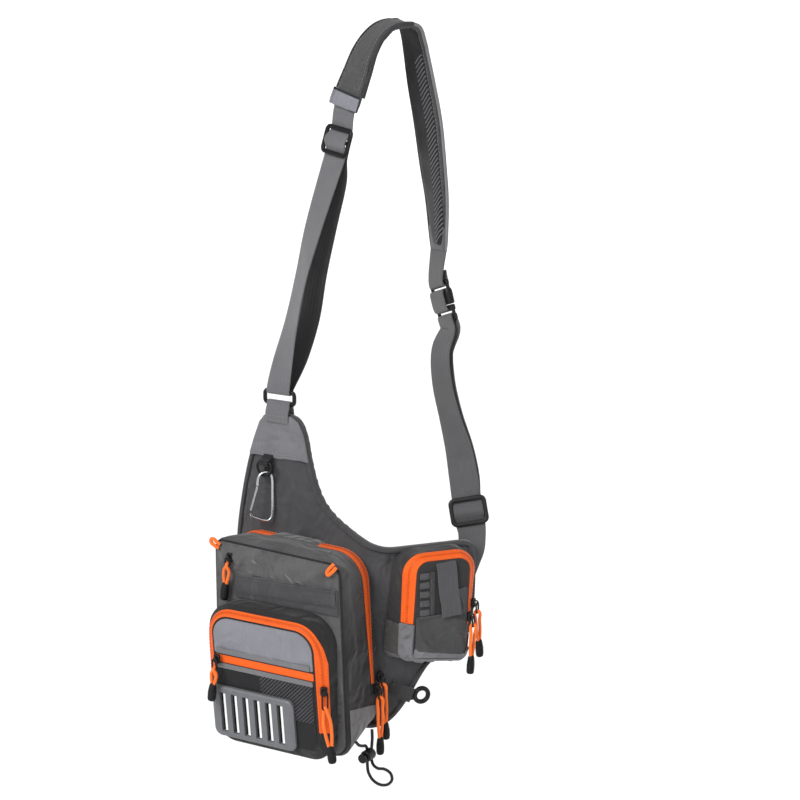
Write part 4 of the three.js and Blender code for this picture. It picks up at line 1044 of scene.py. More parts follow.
@dataclass
class BoxPocket:
    """A box of cloth: outlines of equal point counts at several depths, and where depth lies."""

    depths: tuple[float, ...]
    rings: Array
    place: Place
    facing: tuple[float, float, float]

    def outline_at(self, depths: Array) -> Array:
        """Outlines (rows, points, 2), by straight interpolation between the two nearest depths."""
        at = np.interp(depths, self.depths, np.arange(len(self.depths)))
        low = np.minimum(at.astype(int), len(self.depths) - 2)
        share = (at - low)[:, None, None]
        return self.rings[low] * (1 - share) + self.rings[low + 1] * share

    def wall(self, depths: Array) -> Array:
        """The gusset as a grid (depths, points, 3)."""
        ring = self.outline_at(depths)
        return self.place(ring[..., 0], depths[:, None], ring[..., 1])

    def band(self, depths: Array, right: float | Array, left: float | Array, over_top: bool = True) -> Array:
        """The part of the gusset above (or below) one height on its right side and one on its left.

        Args:
            depths: depth of each row.
            right: height where the band ends on the right side, one for all rows or one for each.
            left: height where it ends on the left side.
            over_top: whether it runs over the top, where it otherwise runs under the foot.

        Returns:
            Grid (depths, points, 3).
        """
        cuts = []
        right, left = (np.broadcast_to(height, depths.shape) for height in (right, left))
        for ring, right_end, left_end in zip(self.outline_at(depths), right, left):
            step, half = np.arange(len(ring)), len(ring) // 2
            from_right = np.interp(right_end, ring[:half, 1], step[:half])
            from_left = np.interp(left_end, ring[:half - 1:-1, 1], step[:half - 1:-1])
            ends = (from_right, from_left) if over_top else (from_left - len(ring) + 1, from_right)
            at = np.linspace(*ends, BAND_STEPS) % (len(ring) - 1)
            cuts.append(stacked(np.interp(at, step, ring[:, 0]), np.interp(at, step, ring[:, 1])))
        cut = np.array(cuts)
        return self.place(cut[..., 0], depths[:, None], cut[..., 1])

    def strip(self, cut: Sequence[float], steps: int, over_top: bool = True) -> Array:
        """The band of one cut: its first and last depth, and its height on the right and on the left."""
        return self.band(np.linspace(*cut[:2], steps), *cut[2:], over_top)

    def face(self, outline: Outline, depth: float, columns: int = 40,
             inset: float = 0.0) -> tuple[Array, Array]:
        """A filled outline laid on the pocket's front at a depth: points, and their flat x and z."""
        flat = outline.grid(columns, inset)
        return self.place(flat[..., 0], np.full(flat.shape[:2], depth), flat[..., 1]), flat

    def patch(self, outline: Outline, depth: float, thick: float, folds: Sequence[Fold] = (),
              crown: float = 0.0, power: float = 1.0) -> Surface:
        """A cloth patch on the front: a slab that swells by crown in its middle and by its folds.

        Args:
            outline: its cut.
            depth: depth of its back.
            thick: its thickness.
            folds: ridges in its x and z.
            crown: height of the swell, as the product of two half sines over rows and columns.
            power: power of that product; below 1 the swell is flat with steep edges.

        Returns:
            The surface.
        """
        points, flat = self.face(outline, depth)
        rows, columns = points.shape[:2]
        arch = np.outer(np.sin(np.pi * np.linspace(0, 1, rows)), np.sin(np.pi * np.linspace(0, 1, columns)))
        arch = np.maximum(arch, 0)
        folded = sum((fold.at(flat) for fold in folds), np.zeros(arch.shape))
        rise = crown * arch**power + folded * np.minimum(1, 3 * arch)
        return slab(points, 0.0, thick + rise, self.facing, flat)


def in_front(x: Array, depth: Array, z: Array) -> Array:
    """A point in front of the back panel by a depth."""
    return stacked(x, -depth, z)


def narrowed(tape: Array, low: Array | float, high: Array | float) -> Array:
    """A band cut narrower: each column is interpolated straight between two shares of its width.

    Args:
        tape: grid (rows across, points along, 3).
        low: share of the width where the new band starts, one for all columns or one for each.
        high: share where it ends.

    Returns:
        The new grid, of the same size.
    """
    at = (low + (high - low) * np.linspace(0, 1, len(tape))[:, None]) * (len(tape) - 1)
    at = np.broadcast_to(at, tape.shape[:2])
    below = np.minimum(at.astype(int), len(tape) - 2)
    column = np.arange(tape.shape[1])
    part = (at - below)[..., None]
    return tape[below, column] * (1 - part) + tape[below + 1, column] * part


ZIP_ROWS = 11
COIL_PITCH = 2.0
COIL = (4.0, 1.4, 1.4)


def coil_zip(name: str, tape: Array, node: str, lift: float, thick: float) -> None:
    """A coil zip on a band of cloth: a tape with a raised middle, coil turns on it and a seam each side.

    Args:
        name: start of the pieces' names.
        tape: grid (rows across, points along, 3).
        node: the solid that it stands for.
        lift: the tape's height above the band.
        thick: the height of its raised middle.
    """
    share = np.linspace(-1, 1, len(tape))[:, None]
    bulge = 0.5 + 0.4 * np.exp(-((share / 0.35) ** 2))
    height = thick * bulge * np.minimum(1, 0.4 + 4 * (1 - np.abs(share)))
    put(f"{name}_tape", [slab(tape, lift, height)], ORANGE_TAPE, node)
    up = normals(tape)
    middle = len(tape) // 2
    line = np.concatenate([tape[middle] + up[middle] * (lift + 0.85 * thick), up[middle]], axis=1)
    turns = even(line, int(lengths(line)[-1] / COIL_PITCH))
    along = tangents(turns[:, :3])
    across = unit(np.cross(along, turns[:, 3:]))
    put(f"{name}_coil", [dashes(turns[:, :3], across, unit(turns[:, 3:]), COIL)], ORANGE_COIL)
    seams = [stitches(tape[row] + up[row] * (lift + height[row] + 0.1), up[row]) for row in (1, -2)]
    put(f"{name}_seams", seams, ORANGE_THREAD)


# The pack's pieces


@dataclass
class BackPanel:
    """Padded panel that bends round the wearer's side into a wing, with its binding and peak patch."""

    thickness: float = 9.0
    bend_start: float = 165.0
    bend_radius: float = 50.0
    turn: float = np.radians(50)
    binding_reach: float = 6.8
    binding_thick: float = 10.6
    hollow: tuple[float, float] = (112.0, -20.0)
    hollow_reach: float = 34.0
    patch_foot: float = 92.0
    patch_left: float = -3.0
    patch_right: float = 85.8
    patch_reach: float = 1.6
    padding: Padding = Padding(voxel=4.5, shrink=1.6, pressure=4.0, cap=1.8)

    @property
    def wing_start(self) -> float:
        """Distance along the panel where the wing's flat part starts."""
        return self.bend_start + self.bend_radius * self.turn

    def place(self, along: Array, back: Array, z: Array) -> Array:
        """A point from its distance along the panel, behind its front face and its height."""
        along, back, z = np.broadcast_arrays(along, back, z)
        turn = np.clip((along - self.bend_start) / self.bend_radius, 0, self.turn)
        rest = np.maximum(along - self.wing_start, 0) + np.minimum(along - self.bend_start, 0)
        reach = self.bend_radius - back
        x = self.bend_start + reach * np.sin(turn) + rest * np.cos(turn)
        return stacked(x, self.bend_radius - reach * np.cos(turn) + rest * np.sin(turn), z)

    def unroll(self, points: Array) -> Array:
        """Distance along, distance behind the front face and height of points on the panel."""
        x, y = points[..., 0] - self.bend_start, self.bend_radius - points[..., 1]
        turn = np.clip(np.arctan2(x, y), 0, self.turn)
        flat = x <= 0
        past = np.where(turn >= self.turn, x * np.cos(self.turn) - y * np.sin(self.turn), 0.0)
        along = self.bend_start + np.where(flat, x, self.bend_radius * turn + past)
        back = np.where(flat, points[..., 1], self.bend_radius - (x * np.sin(turn) + y * np.cos(turn)))
        return stacked(along, back, points[..., 2])

    def edges(self) -> tuple[Array, Array, Array]:
        """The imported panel's stations: distance along, height of the top edge and of the foot edge."""
        rows = self.unroll(vertex_places(solid("back_panel").data))
        along, which = np.unique(np.round(rows[:, 0], 1), return_inverse=True)
        top, foot = np.full(len(along), -np.inf), np.full(len(along), np.inf)
        np.maximum.at(top, which, rows[:, 2])
        np.minimum.at(foot, which, rows[:, 2])
        return along, top, foot

    def build(self) -> None:
        """Makes the padded panel, its binding and its peak patch."""
        panel = puff(solid("back_panel"), "panel_cloth", self.padding)
        laid = self.unroll(vertex_places(panel.data))[:, ::2]
        below_patch = rising(laid[:, 1], self.patch_foot - 8, self.patch_foot - 18)
        move_along_normals(panel.data, Crumple(17.0, 1.5).at(laid) * below_patch * MM)
        lay_flat(panel.data, laid)
        settle(panel, DARK_CLOTH, "back_panel")
        self.bind()
        self.patch()

    def bind(self) -> None:
        """Binding folded over the panel's edge: a boxy oval carried round it, puckered in the hollow."""
        along, top, foot = self.edges()
        outline = np.concatenate([stacked(along, top, 0.0), stacked(along, foot, 0.0)[::-1]])
        path = even(spline(outline, 6, closed=True), 700)
        way = tangents(path, closed=True)
        out = stacked(-way[:, 1], way[:, 0])
        section = oval(self.binding_reach, self.binding_thick, 3.2, 28)
        middle, low = self.hollow
        hollow = np.exp(-(((path[:, 0] - middle) / self.hollow_reach) ** 2)) * (path[:, 1] > low)
        run = lengths(path)
        pucker = hollow * (np.sin(run / 1.9) + 0.6 * np.sin(run / 1.13 + 1.0)) * 0.9
        swell = 1 + 0.1 * pucker[:, None]
        reach = section[None, :, 0] * swell - self.binding_reach / 2 + 2.2
        back = self.thickness / 2 + section[None, :, 1] * swell
        points = self.place(path[:, :1] + out[:, :1] * reach, back, path[:, 1:2] + out[:, 1:] * reach)
        flat = stacked(lengths(section)[None, :], run[:, None])
        put("panel_binding", [Surface(points, flat)], PANEL_BINDING, "panel_piping")
        inner = -self.binding_reach + 3.4
        face = -self.binding_thick / 2 * 0.94 + self.thickness / 2
        line = self.place(path[:, 0] + out[:, 0] * inner, face, path[:, 1] + out[:, 1] * inner)
        put("panel_binding_seam", [stitches(line, self.front_normals(path[:, 0]), closed=True)], DARK_THREAD)

    def front_normals(self, along: Array) -> Array:
        """Unit normals of the front face at distances along the panel."""
        turn = np.clip((along - self.bend_start) / self.bend_radius, 0, self.turn)
        return stacked(np.sin(turn), -np.cos(turn), 0.0)

    def patch(self) -> None:
        """Light patch over the peak: rows from a slightly wavy foot up over the binding's edge."""
        along, top, _ = self.edges()
        columns = np.linspace(self.patch_left, self.patch_right, 64)
        edge = stacked(along, top)
        way = tangents(edge)
        edge = edge + self.patch_reach * stacked(-way[:, 1], way[:, 0])
        high = np.interp(columns, edge[:, 0], edge[:, 1])
        low = self.patch_foot + 0.7 * np.sin(columns / 9.0) + 0.4 * np.sin(columns / 3.7)
        share = np.linspace(0, 1, 40)[:, None]
        z = low * (1 - share) + np.maximum(high, low + 1) * share
        x = np.broadcast_to(columns, z.shape)
        laid = stacked(x, z)
        creases = Fold((2, 96), (30, 118), 5, 0.5), Fold((60, 140), (80, 96), 4, 0.8), Crumple(13.0, 0.9)
        rise = sum(crease.at(laid) for crease in creases)
        cloth = slab(self.place(x, -1.1, z), 0.0, 1.2 + rise, FORWARD, laid)
        put("peak_patch_cloth", [cloth], LIGHT_CLOTH, "peak_patch")
        x, low = columns[4:-4], low[4:-4]
        lines = [stitches(self.place(x, -2.35, low + above), FORWARD) for above in (2.2, 5.4)]
        put("peak_patch_seams", lines, GREY_THREAD)


@dataclass
class MainCompartment:
    """The large box: gusset, front face, zip over the top, foot patch, slip pocket, band and lash loops."""

    front: float = 88.0
    foot_right: float = 195.0
    tilt: float = 3.0
    # Rows of depth, inset, left, right, top, foot, left radius, right radius and foot radius
    sections: tuple = ((0.6, 0, -12, 171, -11, -240, 30, 40, 34), (26, 0, -9, 175, -8, -245, 26, 38, 32),
                       (80, 0, -2, 185, 0, -257, 12, 20, 22), (86, 2.5, -2, 185, 0, -257, 12, 20, 22),
                       (88, 7, -2, 185, 0, -257, 12, 20, 22))
    # Cuts: first and last depth, height on the right and on the left
    zip_cut: tuple = (4.0, 23.0, -178.0, -178.0)
    cover_cut: tuple = (2.5, 38.0, -20, -20)
    leg_trim: float = 0.66
    cover: tuple[float, float] = (39.0, 112.0)
    cover_high: float = 3.4
    piping_depth: float = 85.0
    piping: float = 3.0
    patch_top: float = -194.0
    patch_back: float = -209.0
    patch_depths: tuple[float, float] = (14.0, 80.0)
    crown: float = 6.0
    crease_foot: float = -190.0
    # Rows of start, end, width and height
    folds: tuple = (
        ((8, -5), (70, -38), 5, 4.2), ((5, -14), (44, -40), 4, 3.0), ((18, -5), (116, -27), 5, 2.6),
        ((172, -8), (124, -36), 7, 6.0), ((160, -6), (84, -34), 6, 2.4), ((12, -90), (14, -220), 6, 0.8),
        ((180, -76), (184, -210), 5, 0.9), ((60, -12), (64, -34), 5, 1.8))
    slip: Outline = Outline(((30, -69, 4), (183, -69, 3), (182, -35, 3), (30, -41, 4)))
    band: Outline = Outline(((33, -62, 2), (181, -57, 2), (180, -37, 2), (33, -43, 2)))
    lash_radius: float = 2.3
    lash_left: tuple = ((9, 90.2, -4), (5, 92, -0.6), (1.6, 93, 2.8), (-2, 93.4, 2.2), (-2.4, 93.4, -1.6),
                        (1, 92.6, -5.2), (7, 90.4, -9))
    lash_right: tuple = ((177.6, 90.2, -2), (173.6, 93, -7), (170, 94, -12.4), (171, 94, -16),
                         (175.4, 93.4, -13), (181, 90.2, -6))
    pocket: BoxPocket = field(init=False)

    def __post_init__(self) -> None:
        """Works out the outline of each section."""
        rings = [self.outline(row).ring(row[1]) for row in self.sections]
        depths = tuple(row[0] for row in self.sections)
        self.pocket = BoxPocket(depths, np.array(rings), in_front, (0, -1, 0))

    def outline(self, row: Sequence[float]) -> Outline:
        """The rounded outline of one section row, before its inset."""
        left, right, top, foot, left_radius, right_radius, foot_radius = row[2:]
        return Outline(((left, foot, foot_radius), (self.foot_right, foot, foot_radius),
                        (right, top - self.tilt, right_radius), (left, top + self.tilt, left_radius)))

    def right_at(self, depth: float, z: float) -> float:
        """How far right the compartment reaches at a depth and a height on its right side."""
        ring = self.pocket.outline_at(np.array([depth]))[0]
        half = len(ring) // 2
        return float(np.interp(z, ring[:half, 1], ring[:half, 0]))

    def build(self) -> None:
        """Makes every piece of the compartment."""
        self.cloth()
        tape = self.pocket.strip(self.zip_cut, ZIP_ROWS)
        leg = rising(tape[5, :, 2], -30, -170) * (tape[5, :, 0] > 100)
        coil_zip("main_zip", narrowed(tape, self.leg_trim * leg, 1.0), "main_zip", 0.8, 1.6)
        cover = self.pocket.strip(self.cover_cut, 22)
        left, right = self.cover
        cover = cover[:, (cover[5, :, 0] > left) & (cover[5, :, 0] < right)]
        x, depth = cover[..., 0], -cover[..., 1]
        ends = rising(np.minimum(x - left, right - x), 0, 10) ** 0.5
        high = np.maximum(self.cover_high * ends * rising(depth, 30, 23), self.crowned(x, depth))
        put("main_zip_cover", [slab(cover, 0.2, high + 0.3, (0, 0, 1))], LIT_FRONT_CLOTH)
        depths = np.linspace(*self.patch_depths, 24)
        top = np.linspace(self.patch_back, self.patch_top, 24)
        strip = self.pocket.band(depths, top, top, over_top=False)
        put("foot_patch_cloth", [slab(strip, 0.4, 1.2)], FOOT_CLOTH, "foot_patch")
        self.slip_pocket()
        for name, rows in (("lash_loop_left", self.lash_left), ("lash_loop_right", self.lash_right)):
            path = spline([in_front(*row) for row in np.array(rows, float)], 8)
            put(name + "_cord", [cord(path, 2 * self.lash_radius, 10)], ORANGE_CORD, name)

    def cloth(self) -> None:
        """Gusset with a crowned top and soft wrinkles, the front face, and the piping between them."""
        depths = np.concatenate([np.linspace(0.6, 78, 26), np.linspace(80, 88, 7)])
        wall = self.pocket.wall(depths)
        x, z, depth = wall[..., 0], wall[..., 2], -wall[..., 1]
        up = rising(normals(wall)[..., 2], 0.3, 0.8)
        rise = self.crowned(x, depth) * up
        run = z + 0.6 * depth
        wrinkle = 0.7 * np.sin(run / 13.0) * np.sin(depth / 19.0 + z / 41.0) * (1 - up) * (z > -188)
        lift = rise + wrinkle * rising(depth, 26, 38) * rising(depth, 82, 70)
        lift = lift + 0.9 * np.exp(-(((depth - 47) / 1.8) ** 2)) * (1 - up)
        run = lengths(wall[13])
        level = np.flatnonzero(normals(wall)[13, :, 2] > 0.6)
        corner = np.minimum(run - run[level[0]], run[level[-1]] - run)
        flat = stacked(depths[:, None], corner[None, :])
        slack = Crumple(11.0, 2.2).at(stacked(1.4 * depths[:, None], 0.7 * run[None, :])) * (1 - up)
        slack = slack * rising(z, self.crease_foot, self.crease_foot + 10)
        lift = lift + slack * rising(depth, 26, 34) * rising(depth, 84, 76)
        # Painted shade: the gusset's cloth darkens down its sides away from its top
        put("main_gusset", [slab(wall, -2.0, 2.0 + lift, None, flat)], SHADED_MAIN_GUSSET, "main_shell")
        face, laid = self.pocket.face(self.outline(self.sections[-1]), self.front, 90, 3.5)
        x, z = laid[..., 0], laid[..., 1]
        inside = np.minimum(rising(np.minimum(x - 5, 180 - x), 0, 14), rising(z, -5, -15))
        folds = *(Fold(*row) for row in self.folds), Crumple(8.0, 2.6)
        rise = sum(fold.at(laid) for fold in folds) * inside
        hidden = rising(z, -33, -37) * rising(x, 28, 32)
        # The front face in the lighter copy of the cloth: painted light
        put("main_front", [slab(face, -1.8, 1.9 + rise * (1 - hidden), FORWARD, laid)], LIT_FRONT_CLOTH)
        # Real piping, drawn near black as painted shade of the seam groove beside it
        ring = self.pocket.wall(np.array([self.piping_depth]))[0]
        put("main_piping", [cord(ring, self.piping, 12, True)], BINDING)

    def crowned(self, x: Array, depth: Array) -> Array:
        """How far the filled top bulges: a half sine across, risen from depth 23 and gone at 81."""
        across = np.sin(np.pi * rising(x, 2, 172)) ** 0.8
        return self.crown * across * rising(depth, 23, 39) * rising(depth, 81, 69)

    def slip_pocket(self) -> None:
        """Flat pocket and the band along its hem, each with its seams."""
        sag = [Fold((40, -66), (170, -66), 5, 0.4), Crumple(12.0, 0.9)]
        slip = self.pocket.patch(self.slip, 88.5, 2.4, sag, 0.5)
        put("slip_pocket_cloth", [slip], DARK_CLOTH, "slip_pocket")
        put("front_band_cloth", [self.pocket.patch(self.band, 91.4, 1.6)], DARK_CLOTH, "front_band")
        x = np.linspace(35, 178, 60)
        rows = [stitches(in_front(x, 93.1, np.linspace(*ends, 60)), FORWARD)
                for ends in ((-45.2, -39.2), (-59.8, -54.8))]
        put("front_band_seams", rows, DARK_THREAD)


@dataclass
class FrontPocket:
    """Lower front pocket: walls, bevel with the arch zip, flap, cross zip, mesh and moulded plate."""

    base: float = 88.4
    depth: float = 37.0
    lean: float = 20.0
    top: float = -71.0
    foot: float = -261.0
    outline: Outline = rectangle(3, -261, 180, -71, 32, 40)
    flap: Outline = rectangle(18.6, -135, 164.4, -86.4, 2, 25)
    cross: Outline = rectangle(19, -148.6, 164, -138.2, 2)
    mesh: Outline = rectangle(20, -245, 163, -152, 18, 2)
    plate: Outline = rectangle(12, -250, 134, -180, 10)
    plate_thick: float = 6.0
    slot_pitch: float = 17.2
    first_slot: float = 29.0
    slots: int = 6
    slot_width: float = 9.0
    slot_foot: float = -242.0
    slot_top: float = -188.0
    tooth: float = 3.4
    hem: Outline = rectangle(20, -156, 163, -149.4, 1.5)
    net_pitch: float = 5.0
    # The strands keep to the panel's upper right, where light falls; the bare dark ground elsewhere is
    # painted shade
    net_from: float = 62.0
    net_low: float = 36.0
    # First and last depth, height on the right and on the left
    zip_cut: tuple = (23.5, 36.5, -218, -172)
    arch_trim: float = 0.42
    pocket: BoxPocket = field(init=False)

    def __post_init__(self) -> None:
        """Works out the three sections."""
        rings = np.array([self.outline.ring(inset) for inset in (0, 0, 14)])
        self.pocket = BoxPocket((0, 23, self.depth), rings, self.place, (0, -1, 0))

    def place(self, x: Array, depth: Array, z: Array) -> Array:
        """A point of the pocket; its front leans back towards its foot."""
        share = np.minimum(np.asarray(depth) / self.depth, 1)
        lean = self.lean * (self.top - z) / (self.top - self.foot)
        return in_front(x, self.base + depth - lean * share, z)

    def build(self) -> None:
        """Makes every piece of the pocket."""
        wall = self.pocket.wall(np.concatenate([np.linspace(0, 21, 9), np.linspace(23, self.depth, 7)]))
        # Walls and face in the darkest copy of the cloth: painted shade
        put("front_pocket_wall", [slab(wall, -1.8, 1.8)], SHADED_WALL_CLOTH, "front_shell")
        face, laid = self.pocket.face(self.outline, self.depth, 50, 13.5)
        put("front_pocket_face", [slab(face, -1.6, 1.6, (0, -1, 0), laid)], SHADED_WALL_CLOTH)
        tape = self.pocket.strip(self.zip_cut, ZIP_ROWS)
        top = rising(tape[5, :, 2], -125, -95)
        coil_zip("front_zip", narrowed(tape, self.arch_trim * top, 1.0), "front_zip", 0.8, 1.6)
        creases = [Fold((45 + 30 * i, -92), (42 + 31 * i, -131), 2.6, 0.9) for i in range(4)]
        flap = self.pocket.patch(self.flap, self.depth + 0.2, 1.4, creases, 1.6)
        put("front_flap_cloth", [flap], FLAP_CLOTH, "front_flap")
        # A hem strip at the flap's foot, its darker tone painted shade, and the light hem under the cross
        # zip
        lower = self.pocket.patch(rectangle(22, -135, 161, -127.5, 1.5), self.depth + 2.8, 0.8)
        hem = self.pocket.patch(self.hem, self.depth + 0.9, 1.0)
        put("front_flap_hem", [lower, hem], LIGHT_CLOTH)
        cross, _ = self.pocket.face(self.cross, self.depth + 0.2, 60)
        coil_zip("cross_zip", cross, "cross_zip", 0.0, 2.0)
        put("mesh_backing", [self.pocket.patch(self.mesh, self.depth + 0.1, 0.7)], MESH_BACK, "mesh_panel")
        # Strands only where light falls, the under ones darker: painted light and shade
        climbing, falling = self.net()
        put("mesh_net", [climbing], NET)
        put("mesh_net_under", [falling], NET_SHADE)
        self.moulded_plate()

    def net(self) -> tuple[Surface, Surface]:
        """Diagonal strands each way, x = start +- (z - foot), cut to the mesh's lit upper right; the rest is
        painted shade.
        """
        left, foot, _ = self.mesh.corners[0]
        right, top, _ = self.mesh.corners[2]
        tall, wide = top - foot - 4, right - left - 4
        starts = np.arange(-tall, wide, self.net_pitch)
        low, high = np.maximum(0, -starts), np.minimum(tall, wide - starts)
        share = np.linspace(0, 1, 4)
        seen = np.maximum(np.maximum(self.net_from - starts, self.net_low), low)
        kept = high - seen > self.net_pitch
        climbing = seen[kept, None] + (high - seen)[kept, None] * share
        low, high = np.maximum(low, self.net_low), np.minimum(high, wide - self.net_from - starts)
        kept_too = high - low > self.net_pitch
        z = low[kept_too, None] + (high - low)[kept_too, None] * share
        falling = stacked(right - 2 - starts[kept_too, None] - z, z + foot + 2)
        return (self.strands(stacked(starts[kept, None] + climbing + left + 2, climbing + foot + 2), 1.2),
                self.strands(falling, 0.9))

    def strands(self, lines: Array, lift: float) -> Surface:
        """Thin round strands along lines (k, n, 2) of x and z, their middles lifted off the mesh."""
        turn = np.linspace(0, TAU, 6)
        across = lines[..., None, :] + 0.6 * stacked(np.cos(turn), 0 * turn)
        depth = np.broadcast_to(self.depth + lift + 0.5 * np.sin(turn), across.shape[:-1])
        return Surface(self.place(across[..., 0], depth, across[..., 1]), lines[..., None, :] + 0 * across)

    def moulded_plate(self) -> None:
        """Soft moulded plate: recessed slots, a black floor in each as painted shade, and a serrated white
        bar beside it.
        """
        lift = self.depth + 2.0
        left, foot, _ = self.plate.corners[0]
        right, top, _ = self.plate.corners[2]
        middles = self.first_slot + self.slot_pitch * np.arange(self.slots)
        half, step = self.slot_width / 2, 0.02
        sides = (middles[:, None] + np.array((-half - step, -half + step, half - step, half + step))).ravel()
        columns = np.sort(np.concatenate([sides, np.linspace(left, right, 30)]))
        ends = np.array((self.slot_foot, self.slot_top))
        lips = (ends[:, None] + np.array((-step, step))).ravel()
        outer = self.plate.grid(2)
        rows = np.sort(np.concatenate([lips, outer[:, 0, 1], np.linspace(foot + 12, top - 12, 8)]))
        reach = [np.interp(rows, outer[:, side, 1], outer[:, side, 0])[:, None] for side in (0, 1)]
        x = np.clip(columns[None, :], *reach)
        z = np.broadcast_to(rows[:, None], x.shape)
        in_slot = (np.abs(x[..., None] - middles) < half).any(-1) & (z > ends[0]) & (z < ends[1])
        edge = np.minimum(np.minimum(x - reach[0], reach[1] - x), np.minimum(z - foot, top - z))
        height = np.where(in_slot, 0.8, self.plate_thick - 2.2 * np.exp(-((edge / 1.6) ** 2)))
        points = self.place(x, np.full(x.shape, lift), z)
        plate = slab(points, 0.0, height, FORWARD, stacked(x, z))
        put("moulded_plate_frame", [plate], GREY_PLASTIC, "moulded_plate")
        low, high, reach = ends[0] + 0.1, ends[1] - 0.1, half - 0.1
        # Painted shade: a black floor in each slot's recess
        slot_shade = [self.pocket.patch(rectangle(m - reach, low, m + reach, high, 0.6), lift + 0.7, 0.4)
                  for m in middles]
        put("plate_slot_shade", slot_shade, BLACK_PLASTIC)
        z = np.linspace(ends[0] + 1, ends[1] - 1, 72)[:, None]
        across = np.array((0.2, 0.8, 3.5, 4.1))[None, :]
        teeth = 3.0 + 0.9 * np.abs(np.sin(np.pi * z / self.tooth)) * np.array((0.4, 1, 1, 0.4))
        depth = np.full(teeth.shape, lift + 1.2)
        bars = [slab(self.place(m + across + 0 * z, depth, z + 0 * across), 0.0, teeth, FORWARD)
                for m in middles]
        put("plate_bars", bars, WHITE_PLASTIC, "plate_insert")


@dataclass
class ZipPull:
    """A zip's slider with its wire tab, a braided cord loop through the tab and a ribbed grip on it."""

    name: str
    at: tuple[float, float, float]
    turn: float
    loop: float
    lean: float = 0.0
    tilt: float = 0.0
    cord: float = 4.2
    eye_down: float = 9.6
    tab_out: float = 7.6
    grip: float = 24.0
    # Rows of distance down, width and thickness
    slider: tuple = ((-6, 6, 3.2), (-5, 8.6, 4.2), (2, 9, 4.2), (5, 8, 4.2), (6, 6, 3.2))
    # Rows of distance across, down and out
    bridge: tuple = ((0, -4, 3.6), (0, -3, 7.6), (0, -0.5, 8.6), (0, 2, 7.6), (0, 3, 3.6))

    def build(self) -> None:
        """Makes the slider, the loop and the grip."""
        axes = upright(self.at, self.turn)
        shell = moulding(axes.moved(0, 0, 2.1), self.slider)
        bridge = sweep(axes.at(spline(self.bridge, 5)), oval(3.0, 1.6, 2.4, 10), axes.across)
        window = rectangle(-3.4, -1, 3.4, self.eye_down + 2.8, 3.0)
        tab = frame_ring(axes.moved(0, 0, self.tab_out), window, 2.2, 2.0, 36)
        put(f"{self.name}_slider_metal", [shell, bridge, tab], BLACK_PLASTIC, f"{self.name}_slider")
        eye = axes.at((0, self.eye_down, self.tab_out))
        lean, tilt = np.radians((self.lean, self.tilt))
        down = axes.out * np.sin(tilt) + axes.down * np.cos(tilt)
        fall = down * np.cos(lean) - axes.across * np.sin(lean)
        wide = unit(axes.across - fall * (axes.across @ fall))
        put(f"{self.name}_pull_cord", [self.cord_loop(eye, fall, wide)], ORANGE_CORD, f"{self.name}_pull")
        h = np.linspace(4, 20, 41)
        body = stacked(np.interp(h, (4, 12, 20), (4.6, 5.6, 5.4)) + 0.3 * np.cos(TAU * h / 2.4), h)
        ends = ((0, 0), (2.8, 0.2), (3.8, 1.2), (4.4, 3)), ((5.3, 21), (4.6, 23), (2.8, 24), (0, self.grip))
        profile = np.concatenate([ends[0], body, ends[1]])
        grip = turned(profile, eye + fall * (self.loop - 1), fall, wide, 0.9)
        put(f"{self.name}_pull_grip", [grip], GRIP_RUBBER)

    def cord_loop(self, eye: Array, fall: Array, wide: Array) -> Surface:
        """The loop: through the eye front to back, then turned by a quarter so that its oval shows.

        Args:
            eye: the tab's eye.
            fall: unit direction that the pull hangs in.
            wide: unit direction across it.

        Returns:
            The closed cord.
        """
        down = self.loop
        half = np.array(((3, 2.6), (4.2, 0.35 * down), (3.8, 0.7 * down), (1.9, down), (1.6, down + 5)))
        rows = np.concatenate([[(0, 0)], half, (half * (-1, 1))[::-1]])
        share = rising(rows[:, 1:], 0, 9)
        spin = np.radians(80) * share * share * (3 - 2 * share)
        side = wide * np.sin(spin) + np.cross(fall, wide) * np.cos(spin)
        path = spline(eye + fall * rows[:, 1:] + side * rows[:, :1], 7, closed=True)
        return cord(path, self.cord, 10, True)


WING_TURN = 50.0
WING_START = (203.30, 17.86, 0.0)


def on_wing(along: Array, depth: Array, z: Array) -> Array:
    """A point from its distance along the wing, in front of it, and its height."""
    ahead, out = across_for(WING_TURN), across_for(WING_TURN - 90)
    along, depth, z = (v[..., None] for v in np.broadcast_arrays(along, depth, z))
    return np.array(WING_START) + along * ahead + depth * out + z * np.array((0.0, 0.0, 1.0))


